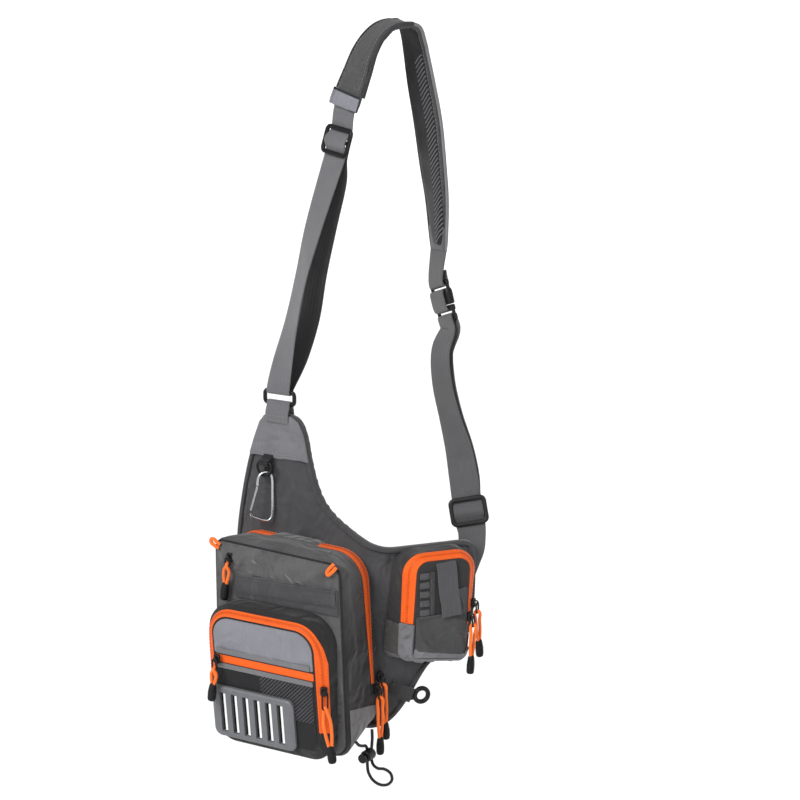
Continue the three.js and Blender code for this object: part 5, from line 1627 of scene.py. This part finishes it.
@dataclass
class SidePocket:
    """Pocket on the wing: walls spread to the left, arch zip, light base, ladder ribs, sleeve and strap."""

    depth: float = 43.0
    bevel_start: float = 26.0
    flare: float = 13.0
    front: Outline = Outline(((6, -140.5, 9), (76, -148.5, 10), (82, -17, 14), (15, -17, 14)))
    sleeve: Outline = Outline(((9.4, -131.5, 5), (76, -144.2, 6), (78.4, -87, 3), (11, -87, 3)))
    hem: Outline = Outline(((6.4, -140.2, 4), (76, -148.2, 3), (76, -142.6, 2), (8, -128.5, 2)))
    side_flap: Outline = Outline(((56, -100, 2), (77, -102, 2), (79, -54, 3), (58, -57, 3)))
    # Cuts: first and last depth, height on the right and on the left
    zip_cut: tuple = (26.5, 42.5, -104, -96)
    flank_cut: tuple = (2, 26.0, -124, -100)
    base_cut: tuple = (26.2, 43.0, -140, -97)
    base_rows: int = 16
    arch_share: float = 0.9
    closer_middle: float = 50.0
    closer_lean: float = 0.09
    closer_width: float = 26.0
    # Rows of depth and height
    closer: tuple = ((42.6, -18.5), (45.4, -24), (45.8, -58), (47.2, -66), (49.4, -72), (49.6, -88))
    ribs: tuple = (-34, -46, -58, -70, -82)
    pocket: BoxPocket = field(init=False)

    def __post_init__(self) -> None:
        """Works out the three sections."""
        depths = (0.6, self.bevel_start, self.depth)
        rings = [self.outline(depths[0]).ring(), self.outline(depths[1]).ring(), self.front.ring()]
        self.pocket = BoxPocket(depths, np.array(rings), on_wing, tuple(across_for(WING_TURN - 90)))

    def outline(self, depth: float) -> Outline:
        """The outline at a depth: its left side spreads along the panel at its back."""
        flare = self.flare * max(0.0, 1 - depth / self.bevel_start)
        return Outline(((-6 - flare, -144 - 0.4 * flare, 12), (84, -152, 12), (98, -9, 27),
                        (-1 - 0.2 * flare, -9, 27)))

    def build(self) -> None:
        """Makes every piece of the pocket."""
        wall = self.pocket.wall(np.concatenate([np.linspace(0.6, 24, 10), np.linspace(26, self.depth, 8)]))
        # Walls and face in the darker copy of the cloth: painted shade
        put("side_pocket_wall", [slab(wall, -1.8, 1.8)], SHADED_GUSSET_CLOTH, "side_shell")
        face, laid = self.pocket.face(self.front, self.depth, 40, -0.3)
        put("side_pocket_face", [slab(face, -1.6, 1.6, self.pocket.facing, laid)], SHADED_GUSSET_CLOTH)
        tape = self.pocket.strip(self.zip_cut, ZIP_ROWS)
        coil_zip("side_zip", narrowed(tape, 0.0, self.arch_share), "side_zip", 0.4, 1.6)
        flank = self.pocket.strip(self.flank_cut, 10, over_top=False)
        put("side_flank_cloth", [slab(flank, 0.8, 1.2)], FLANK_CLOTH, "side_trim")
        base = self.pocket.strip(self.base_cut, self.base_rows, over_top=False)
        run = lengths(base[6])
        share = np.linspace(0, np.pi, self.base_rows)[:, None]
        slack = np.sin(run / 3.6 + 2.6 * share) + np.sin(run / 6.3 - 1.4 * share)
        slack = slack + 0.6 * np.sin(run / 2.1 + share)
        slack = slack * np.sin(share) * np.interp(run, (0, 8, 60, 110), (0.2, 1.0, 1.0, 0.35))
        hem = self.pocket.patch(self.hem, self.depth + 0.1, 1.4, (Crumple(4.5, 2.2),), 1.2)
        put("side_base_cloth", [slab(base, 0.8, np.maximum(3.0 + 2.0 * slack, 0.4)), hem], LIGHT_CLOTH)
        self.sleeve_and_strap()
        ribs = [self.pocket.patch(rectangle(15.5, z - 3.8, 28, z + 3.8, 1.5), self.depth + 0.1, 1.2, (), 1.6)
                for z in self.ribs]
        put("side_ladder_ribs", ribs, SIDE_WEBBING)
        column = self.pocket.patch(rectangle(29.5, -86, 35, -30, 1.5), self.depth + 0.1, 1.0, (), 0.8)
        put("side_ladder_column", [column], SLEEVE_CLOTH)
        z = np.linspace(-33, -84, 40)
        seam = stitches(on_wing(32.0 + 0 * z, self.depth + 2.0, z), self.pocket.facing)
        put("side_ladder_seam", [seam], DARK_THREAD)

    def sleeve_and_strap(self) -> None:
        """Padded sleeve on the face, with a hem seam, and the webbing strap that closes it."""
        folds = [Fold((12, -116), (36, -134), 3.4, 2.2), Fold((12, -104), (24, -128), 3, 1.6),
                 Fold((24, -98), (72, -116), 6, 1.4), Fold((60, -96), (74, -138), 4.5, 1.4),
                 Crumple(10.0, 1.3)]
        sleeve = self.pocket.patch(self.sleeve, self.depth - 0.4, 1.2, folds, 3.6, 0.3)
        put("side_sleeve_cloth", [sleeve], SLEEVE_CLOTH, "side_sleeve")
        flap = self.pocket.patch(self.side_flap, self.depth + 0.2, 2.0, (), 0.8)
        put("side_flap_cloth", [flap], SLEEVE_CLOTH)
        x = np.linspace(14, 75, 30)
        rows = [stitches(on_wing(x, self.depth + 3.9, z + 0 * x), self.pocket.facing) for z in (-89.4, -93)]
        put("side_sleeve_seams", rows, DARK_THREAD)
        depth, z = np.array(self.closer).T
        middle = self.closer_middle + (z[0] - z) * self.closer_lean
        rows = stations(on_wing(middle, depth, z), across_for(WING_TURN), self.closer_width)
        put("side_closer_web", [ribbon(rows)], SIDE_WEBBING, "side_closer")


@dataclass
class Drawcord:
    """Elastic cord at the right foot; both strands go through a lock with a press button."""

    radius: float = 1.95
    route: tuple = (
        (199.2, -76, -236), (200.5, -72, -241), (200.4, -62, -246), (200, -54, -249), (200, -50, -256),
        (200, -50, -266), (200, -50, -276), (201.5, -50, -286), (208, -50, -295), (219, -50, -299),
        (230, -50, -296), (236, -50, -288), (233.5, -50, -280), (225, -50, -276.5), (215, -50, -277.5),
        (208.5, -50, -274), (206, -50, -266), (206, -50, -256), (205.5, -48, -248), (202.5, -42, -243),
        (200, -38, -238), (199.2, -37, -233))
    lock: tuple[float, float, float] = (203, -45, -261)
    # Rows of radius and distance in front of the lock's back
    body: tuple = ((0, 0), (6.4, 0), (7.4, 0.9), (7.6, 2), (7.2, 4), (7.6, 6), (7.2, 8), (7.6, 10),
                   (7.2, 12), (7.6, 14), (7.2, 15.6), (6.6, 16), (4.4, 16), (4.3, 9), (0, 9))
    button: tuple = ((0, 13.5), (3.8, 13.5), (3.8, 20.2), (5.6, 20.2), (6, 20.8), (6, 23), (5.2, 24),
                     (0, 24))

    def build(self) -> None:
        path = spline(self.route, 8)
        braid = put("drawcord_braid", [cord(path, 2 * self.radius, 12)], BLACK_CORD, "drawcord")
        base, front, right = (np.array(row, float) for row in (self.lock, FORWARD, RIGHT))
        lock = put("cord_lock_body", [turned(self.body, base, front, right)], BLACK_PLASTIC, "cord_lock")
        button = put("cord_lock_button", [turned(self.button, base, front, right)], BLACK_PLASTIC,
                     "lock_button", body="lock_button")
        lengths(path)[-1] * MM


@dataclass
class SmallFittings:
    """Net ring on its tab, and the D-ring with the carabiner on theirs."""

    ring: tuple[float, float, float] = (31.0, 8.0, -206.0)
    ring_radius: float = 9.05
    # Rows of distance along the wing and in front of it
    ring_tab: tuple = ((-8, 1.8), (-3, 3.4), (2, 9), (6, 10.9), (17, 10.9))
    dring: tuple[float, float, float] = (26.0, -12.5, 86.0)
    dring_rows: tuple = ((-8.5, 0), (0, 0), (8.5, 0), (10.8, -4), (9.8, -10.5), (5.5, -15.4), (0, -17),
                         (-5.5, -15.4), (-9.8, -10.5), (-10.8, -4))
    # Rows of distance in front of the panel and height
    tab: tuple = ((1.4, 95), (4.6, 92.8), (9.6, 89.8), (12.5, 89.2), (14.8, 88.3), (15.8, 86), (14.8, 83.7),
                  (12.5, 82.8), (8, 82.2), (4, 80.2), (1.8, 77), (1.5, 70))
    # Rows of distance to the right and height, in the carabiner's plane
    hook: tuple = ((-10, 57), (-9.9, 62), (-8.2, 68.6), (-4.6, 72.6), (0, 74), (4.6, 72.6), (8.2, 68.6),
                   (9.3, 62), (9.2, 44), (9, 24), (7.6, 14), (3.4, 9.6), (-3, 10), (-12, 13.4), (-18, 16.6),
                   (-19.6, 21))
    gate: tuple = ((-10.2, 55.6), (-19.2, 24.4))

    def build(self) -> None:
        """Makes both fittings."""
        self.net_ring()
        self.carabiner()

    def net_ring(self) -> None:
        """A moulded eye with a lug that the tab's webbing holds."""
        axes = upright(on_wing(*self.ring), WING_TURN)
        turn = np.linspace(0, TAU, 41)
        path = axes.at(stacked(self.ring_radius * np.cos(turn), self.ring_radius * np.sin(turn), 0.0))
        eye = sweep(path, oval(6.0, 6.0, 2.4, 16), axes.out, closed=True)
        lug = sweep(axes.at(((-23, -1.5, 0), (-16, -1.5, 0), (-9, -1.5, 0))), oval(13.0, 2.4, 4), axes.down)
        put("net_ring_eye", [eye, lug], BLACK_PLASTIC, "net_ring")
        along, out = np.array(self.ring_tab, float).T
        height = self.ring[2] + np.interp(along, (-8, 6, 17), (15, 7, 2))
        rows = stations(on_wing(along, out, height), (0, 0, 1), 19.0)
        put("ring_tab_web", [ribbon(rows)], INNER_WEBBING, "ring_tab")

    def carabiner(self) -> None:
        """D-ring on a folded tab, and a wire carabiner with its gate."""
        x, y, z = self.dring
        side, height = np.array(self.dring_rows).T
        loop = spline(stacked(x + side, y, z + height), 6, closed=True)
        put("d_ring_wire", [cord(loop, 3.6, 12, True)], BLACK_PLASTIC, "d_ring", body="carabiner")
        depth, height = np.array(self.tab).T
        tab = ribbon(stations(in_front(x, depth, height), RIGHT, 14.0), 1.4)
        put("carabiner_tab_web", [tab], BINDING, "carabiner_tab")
        hook, gate = (stacked(x + (r[:, 0] + 1) * np.sqrt(0.5), y + (r[:, 0] + 1) * np.sqrt(0.5), r[:, 1])
                      for r in (np.array(self.hook, float), np.array(self.gate, float)))
        put("carabiner_wire", [cord(spline(hook, 6), 3.5, 14)], STEEL, "carabiner", body="carabiner")
        put("carabiner_gate_wire", [cord(even(gate, 6), 3.2, 14)], STEEL, "carabiner_gate", body="gate")


# The webbing's way through a tri-glide: rows of distance across, down and out
GLIDE_THREAD = ((0, -17.5, -3.2), (0, -12, -3.2), (0, -2.5, 3.2), (0, 2.5, 3.2), (0, 12, -3.2),
                (0, 17.5, -3.2))


def tri_glide(name: str, axes: Axes, node: str) -> None:
    """A strap adjuster: a rounded frame and a middle bar, both of boxy section."""
    frame = frame_ring(axes, rectangle(-21.8, -15.8, 21.8, 15.8, 5), 5.8, 4.4)
    bar = sweep(axes.at(((-22, 0, 0), (0, 0, 0), (22, 0, 0))), oval(4.0, 5.4, 3.0, 14), axes.out)
    put(name, [frame, bar], BLACK_PLASTIC, node)


def faced(rows: Sequence) -> Array:
    """Stations from rows of place and face azimuth."""
    rows = np.array(rows, float)
    return stations(rows[:, :3], across_for(rows[:, 3]))


@dataclass
class LeftStrap:
    """Strap ring on the peak with its tab, and the webbing from it up through the tri-glide to the pad."""

    ring_x: float = 40.0
    ring_y: float = 4.0
    bars: tuple[float, float] = (162.0, 179.0)
    wrap: float = 4.1
    ring_width: float = 34.0
    glide: Axes = field(default_factory=lambda: along_strap((91, 64, 493), (72, 41, 385), -15))
    # Rows of place and face azimuth
    down: tuple = ((70, 40, 385, -26), (58, 30, 325, -37), (49, 19, 265, -34), (43, 7, 215, -18))
    back: tuple = ((46, 32, 215, -6), (54.5, 51, 265, -12), (65.5, 54, 325, -16), (77, 60, 385, -16),
                   (88, 67, 445, -15))

    def round_bar(self, z: float, start: float, end: float, steps: int) -> Array:
        """Stations round one of the ring's bars, between two angles in degrees."""
        turn = np.radians(np.linspace(start, end, steps + 1))
        points = stacked(self.ring_x, self.ring_y + self.wrap * np.cos(turn), z + self.wrap * np.sin(turn))
        return stations(points, RIGHT, self.ring_width)

    def build(self) -> None:
        """Makes the ring, the tab, the tri-glide and the webbing."""
        foot, top = self.bars
        axes = upright((self.ring_x, self.ring_y, 0), 0)
        ring = frame_ring(axes, rectangle(-22, -top, 22, -foot, 5), 4.8, 4.8)
        put("strap_ring_bar", [ring], BLACK_PLASTIC, "strap_ring")
        x, y = self.ring_x, self.ring_y
        ends = [stations(np.array(rows, float), RIGHT, self.ring_width) for rows in (
            ((x, -3.4, 139), (x, -3.4, 152), (x, y - self.wrap, foot - 2)),
            ((x, 10.6, 152), (x, 10.6, 130)))]
        tab = np.concatenate([ends[0], self.round_bar(foot, 180, 0, 6), ends[1]])
        put("peak_tab_web", [ribbon(tab)], WEBBING, "peak_tab")
        across = np.linspace(x - 14, x + 14, 12)
        seams = [stitches(stacked(across, -4.5, z + 0 * across), FORWARD) for z in (142, 148)]
        put("peak_tab_seams", seams, GREY_THREAD)
        tri_glide("left_glide_frame", self.glide, "left_glide")
        thread, start, tail = (stations(self.glide.at(rows), self.glide.across) for rows in (
            GLIDE_THREAD, ((0, -46, 1), (0, -32, 0)), ((0, 20, -7), (0, 8, -6.4))))
        front = [start, thread, faced(self.down), self.round_bar(top, 180, 270, 4)]
        put("left_webbing_web", [ribbon(np.concatenate(front))], WEBBING, "left_webbing")
        back = [self.round_bar(top, 270, 360, 4), faced(self.back), tail]
        # The return strand in the darkest copy of the webbing: painted shade
        put("left_webbing_return", [ribbon(np.concatenate(back))], INNER_WEBBING)


REACH = 0.032


@dataclass
class ShoulderPad:
    """Padded strap over the shoulder: blown-up pad, bound edges, seams, inner mesh strip and end patch."""

    # Rows of place, face azimuth, width and thickness
    rows: tuple = (
        (98.6, 69.4, 529, -15, 55, 8), (103, 73, 547, -17, 57, 12), (112, 80, 578, -22, 57, 12),
        (119, 86.5, 603, -27, 57, 12), (128, 94.5, 622, -31, 57, 12), (139, 103.5, 634, -34, 57, 12),
        (152, 114, 638, -36, 57, 12), (158, 127, 634, -35, 57, 12), (158, 139, 619, -31, 57, 12),
        (157, 149, 597, -27, 57, 12), (159, 159, 556, -22, 57, 12), (164, 166, 511, -21, 57, 12),
        (169, 171, 454, -23, 55, 12), (173, 174, 411, -26, 51, 12), (174.4, 176, 364, -27, 42, 11),
        (174.8, 176.2, 346, -27, 37, 7))
    padding: Padding = Padding(voxel=4.0, shrink=2.6, pressure=4.0, cap=2.0)
    patch_share: float = 0.07
    edge: float = 7.5
    mesh_from: float = 3.0
    mesh_to: float = 20.0
    bound_row: int = 12
    cover_rows: int = 14
    turn_row: int = 64
    inner_rows: tuple[int, int] = (62, 146)
    full_width: float = 57.0
    shade_from: float = -22.0
    knit_rows: int = 300
    knit_start: int = 60

    def curve(self) -> tuple[Array, Array, Array, Array]:
        """The pad's line: points, directions across and outwards, and widths with thicknesses."""
        line = spline(self.rows, 10, even_knots=True)
        ahead = tangents(line[:, :3])
        across = across_for(line[:, 3])
        across = unit(across - ahead * dot(across, ahead))
        return line[:, :3], across, np.cross(across, ahead), line[:, 4:]

    def build(self) -> None:
        """Makes the pad and everything sewn to it."""
        middle, across, outer, size = self.curve()
        pad = puff(solid("shoulder_pad"), "shoulder_pad_cloth", self.padding)
        places = vertex_places(pad.data)
        nearest = np.argmin(((places[:, None] - middle[None, ::2]) ** 2).sum(-1), axis=1) * 2
        side = ((places - middle[nearest]) * across[nearest]).sum(-1)
        lay_flat(pad.data, stacked(side, lengths(middle)[nearest]))
        settle(pad, PAD_CLOTH, "shoulder_pad")
        skin = BVHTree.FromObject(pad, bpy.context.evaluated_depsgraph_get())
        half = size[:, :1] / 2
        section = oval(1.0, 1.0, 2.6, 16)[None] * stacked(3.6 + 0 * half, size[:, 1:] * 0.46)
        left, right = (middle + across * way * (half - 2.6) for way in (-1, 1))
        bound, front = slice(self.bound_row, None), slice(self.bound_row, self.turn_row)
        back = slice(self.turn_row - 1, None)
        parts = (left, bound), (right, front)
        dark = [sweep(edge[part], section[part], across[part]) for edge, part in parts]
        put("pad_bindings", dark, PAD_BINDING)
        put("pad_light_binding", [sweep(right[back], section[back] * 0.8, across[back])], PAD_EDGE)
        end = slice(-self.cover_rows, None)
        cover = oval(1.0, 1.0, 3.0, 28)[None] * (size[end, None] * (0.93, 0.66))
        put("pad_end_cover", [sweep(middle[end], cover, across[end])], RIGHT_WEBBING)
        reach = half - self.edge
        lines = [self.dropped(skin, middle + across * way * reach, face)
                 for way in (1, -1) for face in (outer, -outer)]
        put("pad_seams", [stitches(line[3:-3], up[3:-3]) for line, up in lines], GREY_THREAD)
        self.inner_strips(skin)
        self.end_patch(skin)

    def knit(self, mesh: Array, facing: Array) -> Surface:
        """Light slanting yarns over the mesh: round strands that climb two fine rows for each column.

        Args:
            mesh: the strip's grid (rows, columns, 3).
            facing: the side that it is seen from.

        Returns:
            A batch of strands.
        """
        up = normals(mesh, facing)
        fine = even(np.concatenate([mesh + up, up], axis=-1).reshape(len(mesh), -1), self.knit_rows)
        fine = fine.reshape(self.knit_rows, mesh.shape[1], 6)
        column = np.arange(mesh.shape[1])
        row = np.arange(self.knit_start, self.knit_rows, 6)[:, None] - 2 * column
        line, up = fine[row, column, :3], unit(fine[row, column, 3:])
        side = unit(np.cross(up, np.gradient(line, axis=1)))
        turn = np.linspace(0, TAU, 7)[:, None]
        points = line[:, :, None] + 0.7 * (side[:, :, None] * np.cos(turn) + up[:, :, None] * np.sin(turn))
        flat = stacked(turn[:, 0], 2.0 * column[:, None])
        return Surface(points, np.broadcast_to(flat, points.shape[:-1] + (2,)))

    def dropped(self, skin: BVHTree, line: Array, way: Array) -> tuple[Array, Array]:
        """A line moved out onto the pad's skin along unit directions, and the skin's normals there."""
        start = in_frame(line + way * 25)
        hits = [skin.ray_cast(Vector(a), Vector(b), REACH) for a, b in zip(start, -way)]
        near = in_frame(line + way * 5)
        rows = [hit[:2] if hit[0] is not None else (a, b) for hit, a, b in zip(hits, near, way)]
        found, up = (np.array(column) for column in zip(*rows))
        return found / MM + HANG + up * 0.2, up

    def strip(self, skin: BVHTree, rows: slice, low: Array, high: Array, way: Array, columns: int) -> Array:
        """A grid on the pad's skin between two distances across it, on the face that looks along way."""
        middle, across, _, _ = self.curve()
        shares = np.linspace(0, 1, columns)
        lines = [middle + across * (low * (1 - share) + high * share) for share in shares]
        return np.stack([self.dropped(skin, line[rows], way[rows])[0] for line in lines], axis=1)

    def inner_strips(self, skin: BVHTree) -> None:
        """On the face against the body: a strip of mesh with its knit, and a sheet of painted shade beside
        it.
        """
        middle, _, outer, size = self.curve()
        rows = slice(*self.inner_rows)
        narrow = size[:, :1] / self.full_width
        mesh = self.strip(skin, rows, self.mesh_from * narrow, self.mesh_to * narrow, -outer, 9)
        facing = -outer[rows].mean(0)
        put("pad_mesh_strip", [slab(mesh, 0.0, 0.9, facing)], PAD_MESH)
        put("pad_mesh_knit", [self.knit(mesh, facing)], PAD_KNIT)
        # Painted shade: a dark sheet beside the mesh, darker towards the shoulder
        start, end = self.shade_from, self.mesh_from
        shade_sheet = self.strip(skin, rows, start * narrow, (end - 0.2) * narrow, -outer, 13)
        across = np.linspace(start, end, 13)[None, :] + 0 * shade_sheet[..., 0]
        laid = stacked(across, lengths(middle)[rows][:, None] + 0 * across)
        put("pad_painted_shade", [slab(shade_sheet, 0.0, 0.7, facing, laid)], PAD_SHADE_SHEET)

    def end_patch(self, skin: BVHTree) -> None:
        """Light patch over the pad's front end, on its outer face, with a dark tape along its upper edge."""
        _, _, outer, size = self.curve()
        rows = slice(3, int(self.patch_share * (len(outer) - 1)) + 2)
        half = size[:, :1] / 2 - 1.8
        grid = self.strip(skin, rows, -half, half, outer, 15)
        put("pad_patch_cloth", [slab(grid, 0.3, 1.2, tuple(outer[2]))], FLAP_CLOTH, "pad_patch")
        tape = self.strip(skin, slice(rows.stop - 1, rows.stop + 1), -half, half, outer, 15)
        put("pad_patch_tape", [slab(tape, 0.2, 1.0, tuple(outer[2]))], BINDING)


@dataclass
class Buckle:
    """Fastened side-release buckle: socket above, tongue below, each with a webbing bar."""

    axes: Axes = field(default_factory=lambda: along_strap((183, 174, 280), (192, 172, 254), -29))
    # Rows of distance down, width and thickness
    socket: tuple = ((6, 40, 10), (5, 43.4, 12.4), (0, 43, 13), (-6, 44, 13), (-12, 44, 12.4), (-15, 42, 9))
    tongue: tuple = ((7, 40, 9), (8, 42, 11.2), (13, 42, 11.2), (15, 40, 8))
    arm: tuple = ((-3.4, 2.4, 4), (-2.4, 3.4, 5.6), (2.4, 3.4, 5.6), (3.4, 2.4, 4))
    # Rows of distance across, down and out
    keeper: tuple = ((0, -14, 6.4), (0, -9, 7.6), (0, 0, 7.8), (0, 9, 7.4), (0, 13, 6.0))
    # Rows of distance from the buckle's middle and out
    bar_wrap: tuple = ((28, 3.9), (20, 3.9), (19, 2.4), (18.2, 0), (19, -2.4), (20, -3.9), (28, -3.9))

    def stations(self, side: int, rows: Sequence) -> Array:
        """Webbing stations at distances above (-1) or below (1) the middle."""
        rows = np.array(rows, float)
        points = self.axes.at(stacked(0.0, rows[:, 0] * side, rows[:, 1]))
        return stations(points, self.axes.across, NARROW_WEB)

    def build(self) -> None:
        """Makes the socket, the tongue and the webbing between the pad and the socket."""
        axes = self.axes
        upper = frame_ring(axes, rectangle(-20, -25, 20, -13, 3), 4.0, 4.4)
        put("buckle_socket_body", [moulding(axes, self.socket), upper], BLACK_PLASTIC, "buckle_socket")
        lower = frame_ring(axes, rectangle(-19, 13, 19, 25, 3), 4.0, 4.4)
        arms = [moulding(axes.moved(side * 20.4, 1.5, 0), self.arm) for side in (-1, 1)]
        tongue = [moulding(axes, self.tongue), lower, *arms]
        put("buckle_tongue_body", tongue, BLACK_PLASTIC, "buckle_tongue")
        end = np.array(ShoulderPad().rows[-1], float)
        start = stations(end[:3] - 8.0 * unit(np.array((0, -0.1, -1.0))), across_for(end[3]), NARROW_WEB)
        rows = [start, self.stations(-1, self.bar_wrap), self.stations(-1, ((38, -4.6),))]
        put("upper_webbing_web", [ribbon(np.concatenate(rows))], RIGHT_WEBBING, "upper_webbing")
        keeper = stations(axes.at(self.keeper), axes.across, 34.0)
        put("buckle_keeper_web", [ribbon(keeper)], RIGHT_WEBBING)


@dataclass
class RightStrap:
    """Webbing from the back of the wing through a tri-glide, up round the buckle's bar and back down."""

    panel: BackPanel
    buckle: Buckle
    glide: Axes = field(default_factory=lambda: along_strap((249, 124, 20), (257, 119, -6), 28))
    # Rows of distance along the panel, behind its front, height and face azimuth
    tail: tuple = ((298, 10.8, -66, 50), (308, 11, -42, 50), (315, 12.6, -24, 47), (319, 20, -7, 38))
    # Rows of place and face azimuth
    up: tuple = ((235, 136, 58, 16), (222, 146, 92, 0), (204, 154, 133, -16), (188, 162, 175, -20),
                 (182.5, 168, 214, -24))
    back: tuple = ((183, 177, 214, -24), (188.5, 170, 175, -20), (204, 161, 133, -16), (221, 153, 92, 0),
                   (233, 144, 58, 16))

    def build(self) -> None:
        """Makes the tri-glide and the webbing."""
        tri_glide("right_glide_frame", self.glide, "right_glide")
        rows = np.array(self.tail, float)
        tail = stations(self.panel.place(*rows[:, :3].T), across_for(rows[:, 3]), NARROW_WEB)
        thread = stations(self.glide.at(GLIDE_THREAD[::-1]), self.glide.across)
        bar = self.buckle.stations(1, ((37, 3.9), *self.buckle.bar_wrap, (37, -4.2)))
        end = stations(self.glide.at(((0, -20, -7.4), (0, -8, -6.8))), self.glide.across)
        way = np.concatenate([tail, thread, faced(self.up), bar, faced(self.back), end])
        put("right_webbing_web", [ribbon(way)], RIGHT_WEBBING, "right_webbing")


def zip_pulls(main_box: MainCompartment, front: FrontPocket) -> list[ZipPull]:
    """The seven zip pulls, each where its slider sits on its zip.

    Args:
        main_box: the main compartment, whose slanted right side carries two of them.
        front: the front pocket, whose bevel and face carry two more.

    Returns:
        The pulls, not built yet.
    """
    def on_main(depth: float, z: float) -> tuple:
        """On the main zip's right leg."""
        return (main_box.right_at(depth, z) + 3.2, -depth, z)

    def on_side(share: float, z: float) -> tuple:
        """On the side zip's right leg, at a share of its bevel."""
        return tuple(on_wing(90.07 - 16 * share + 3.04, 26 + 17 * share + 3.04, z))

    edge = front.place(173.0, 30.0, -160.0) + np.array((2.26, -2.26, 0))
    cross = front.place(24.0, 40.4, -139.0)
    return [
        ZipPull("main_upper", on_main(8.4, -172.0), 90, 54, -4, 1),
        ZipPull("main_lower", on_main(18.4, -186.0), 90, 54, 2, 1),
        ZipPull("slip", (24.5, -89.4, -18.0), 0, 27, 8, eye_down=6.4),
        ZipPull("front", tuple(edge), 45, 52, -7, eye_down=19.0),
        ZipPull("cross", (24.0, cross[1], -143.0), 0, 22, 5, 4),
        ZipPull("side_upper", on_side(0.22, -80.0), WING_TURN + 45, 40, -4, 2),
        ZipPull("side_lower", on_side(0.76, -94.0), WING_TURN + 45, 40, 14, 2),
    ]


def main() -> None:
    """Builds the studio and the pack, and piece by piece."""
    logging.basicConfig(level=logging.INFO, format="%(message)s")
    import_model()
    cad_box = [list(corner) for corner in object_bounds()]
    studio = Studio()
    studio.set_camera()
    Drawcord().build()
    panel, main_box, front, side = BackPanel(), MainCompartment(), FrontPocket(), SidePocket()
    for piece in (panel, main_box, front, side, SmallFittings(), LeftStrap(), ShoulderPad(), Buckle()):
        piece.build()
    RightStrap(panel, Buckle()).build()
    for pull in zip_pulls(main_box, front):
        pull.build()
    studio.set_stage(cad_box[0][2])


if __name__ == "__main__":
    main()
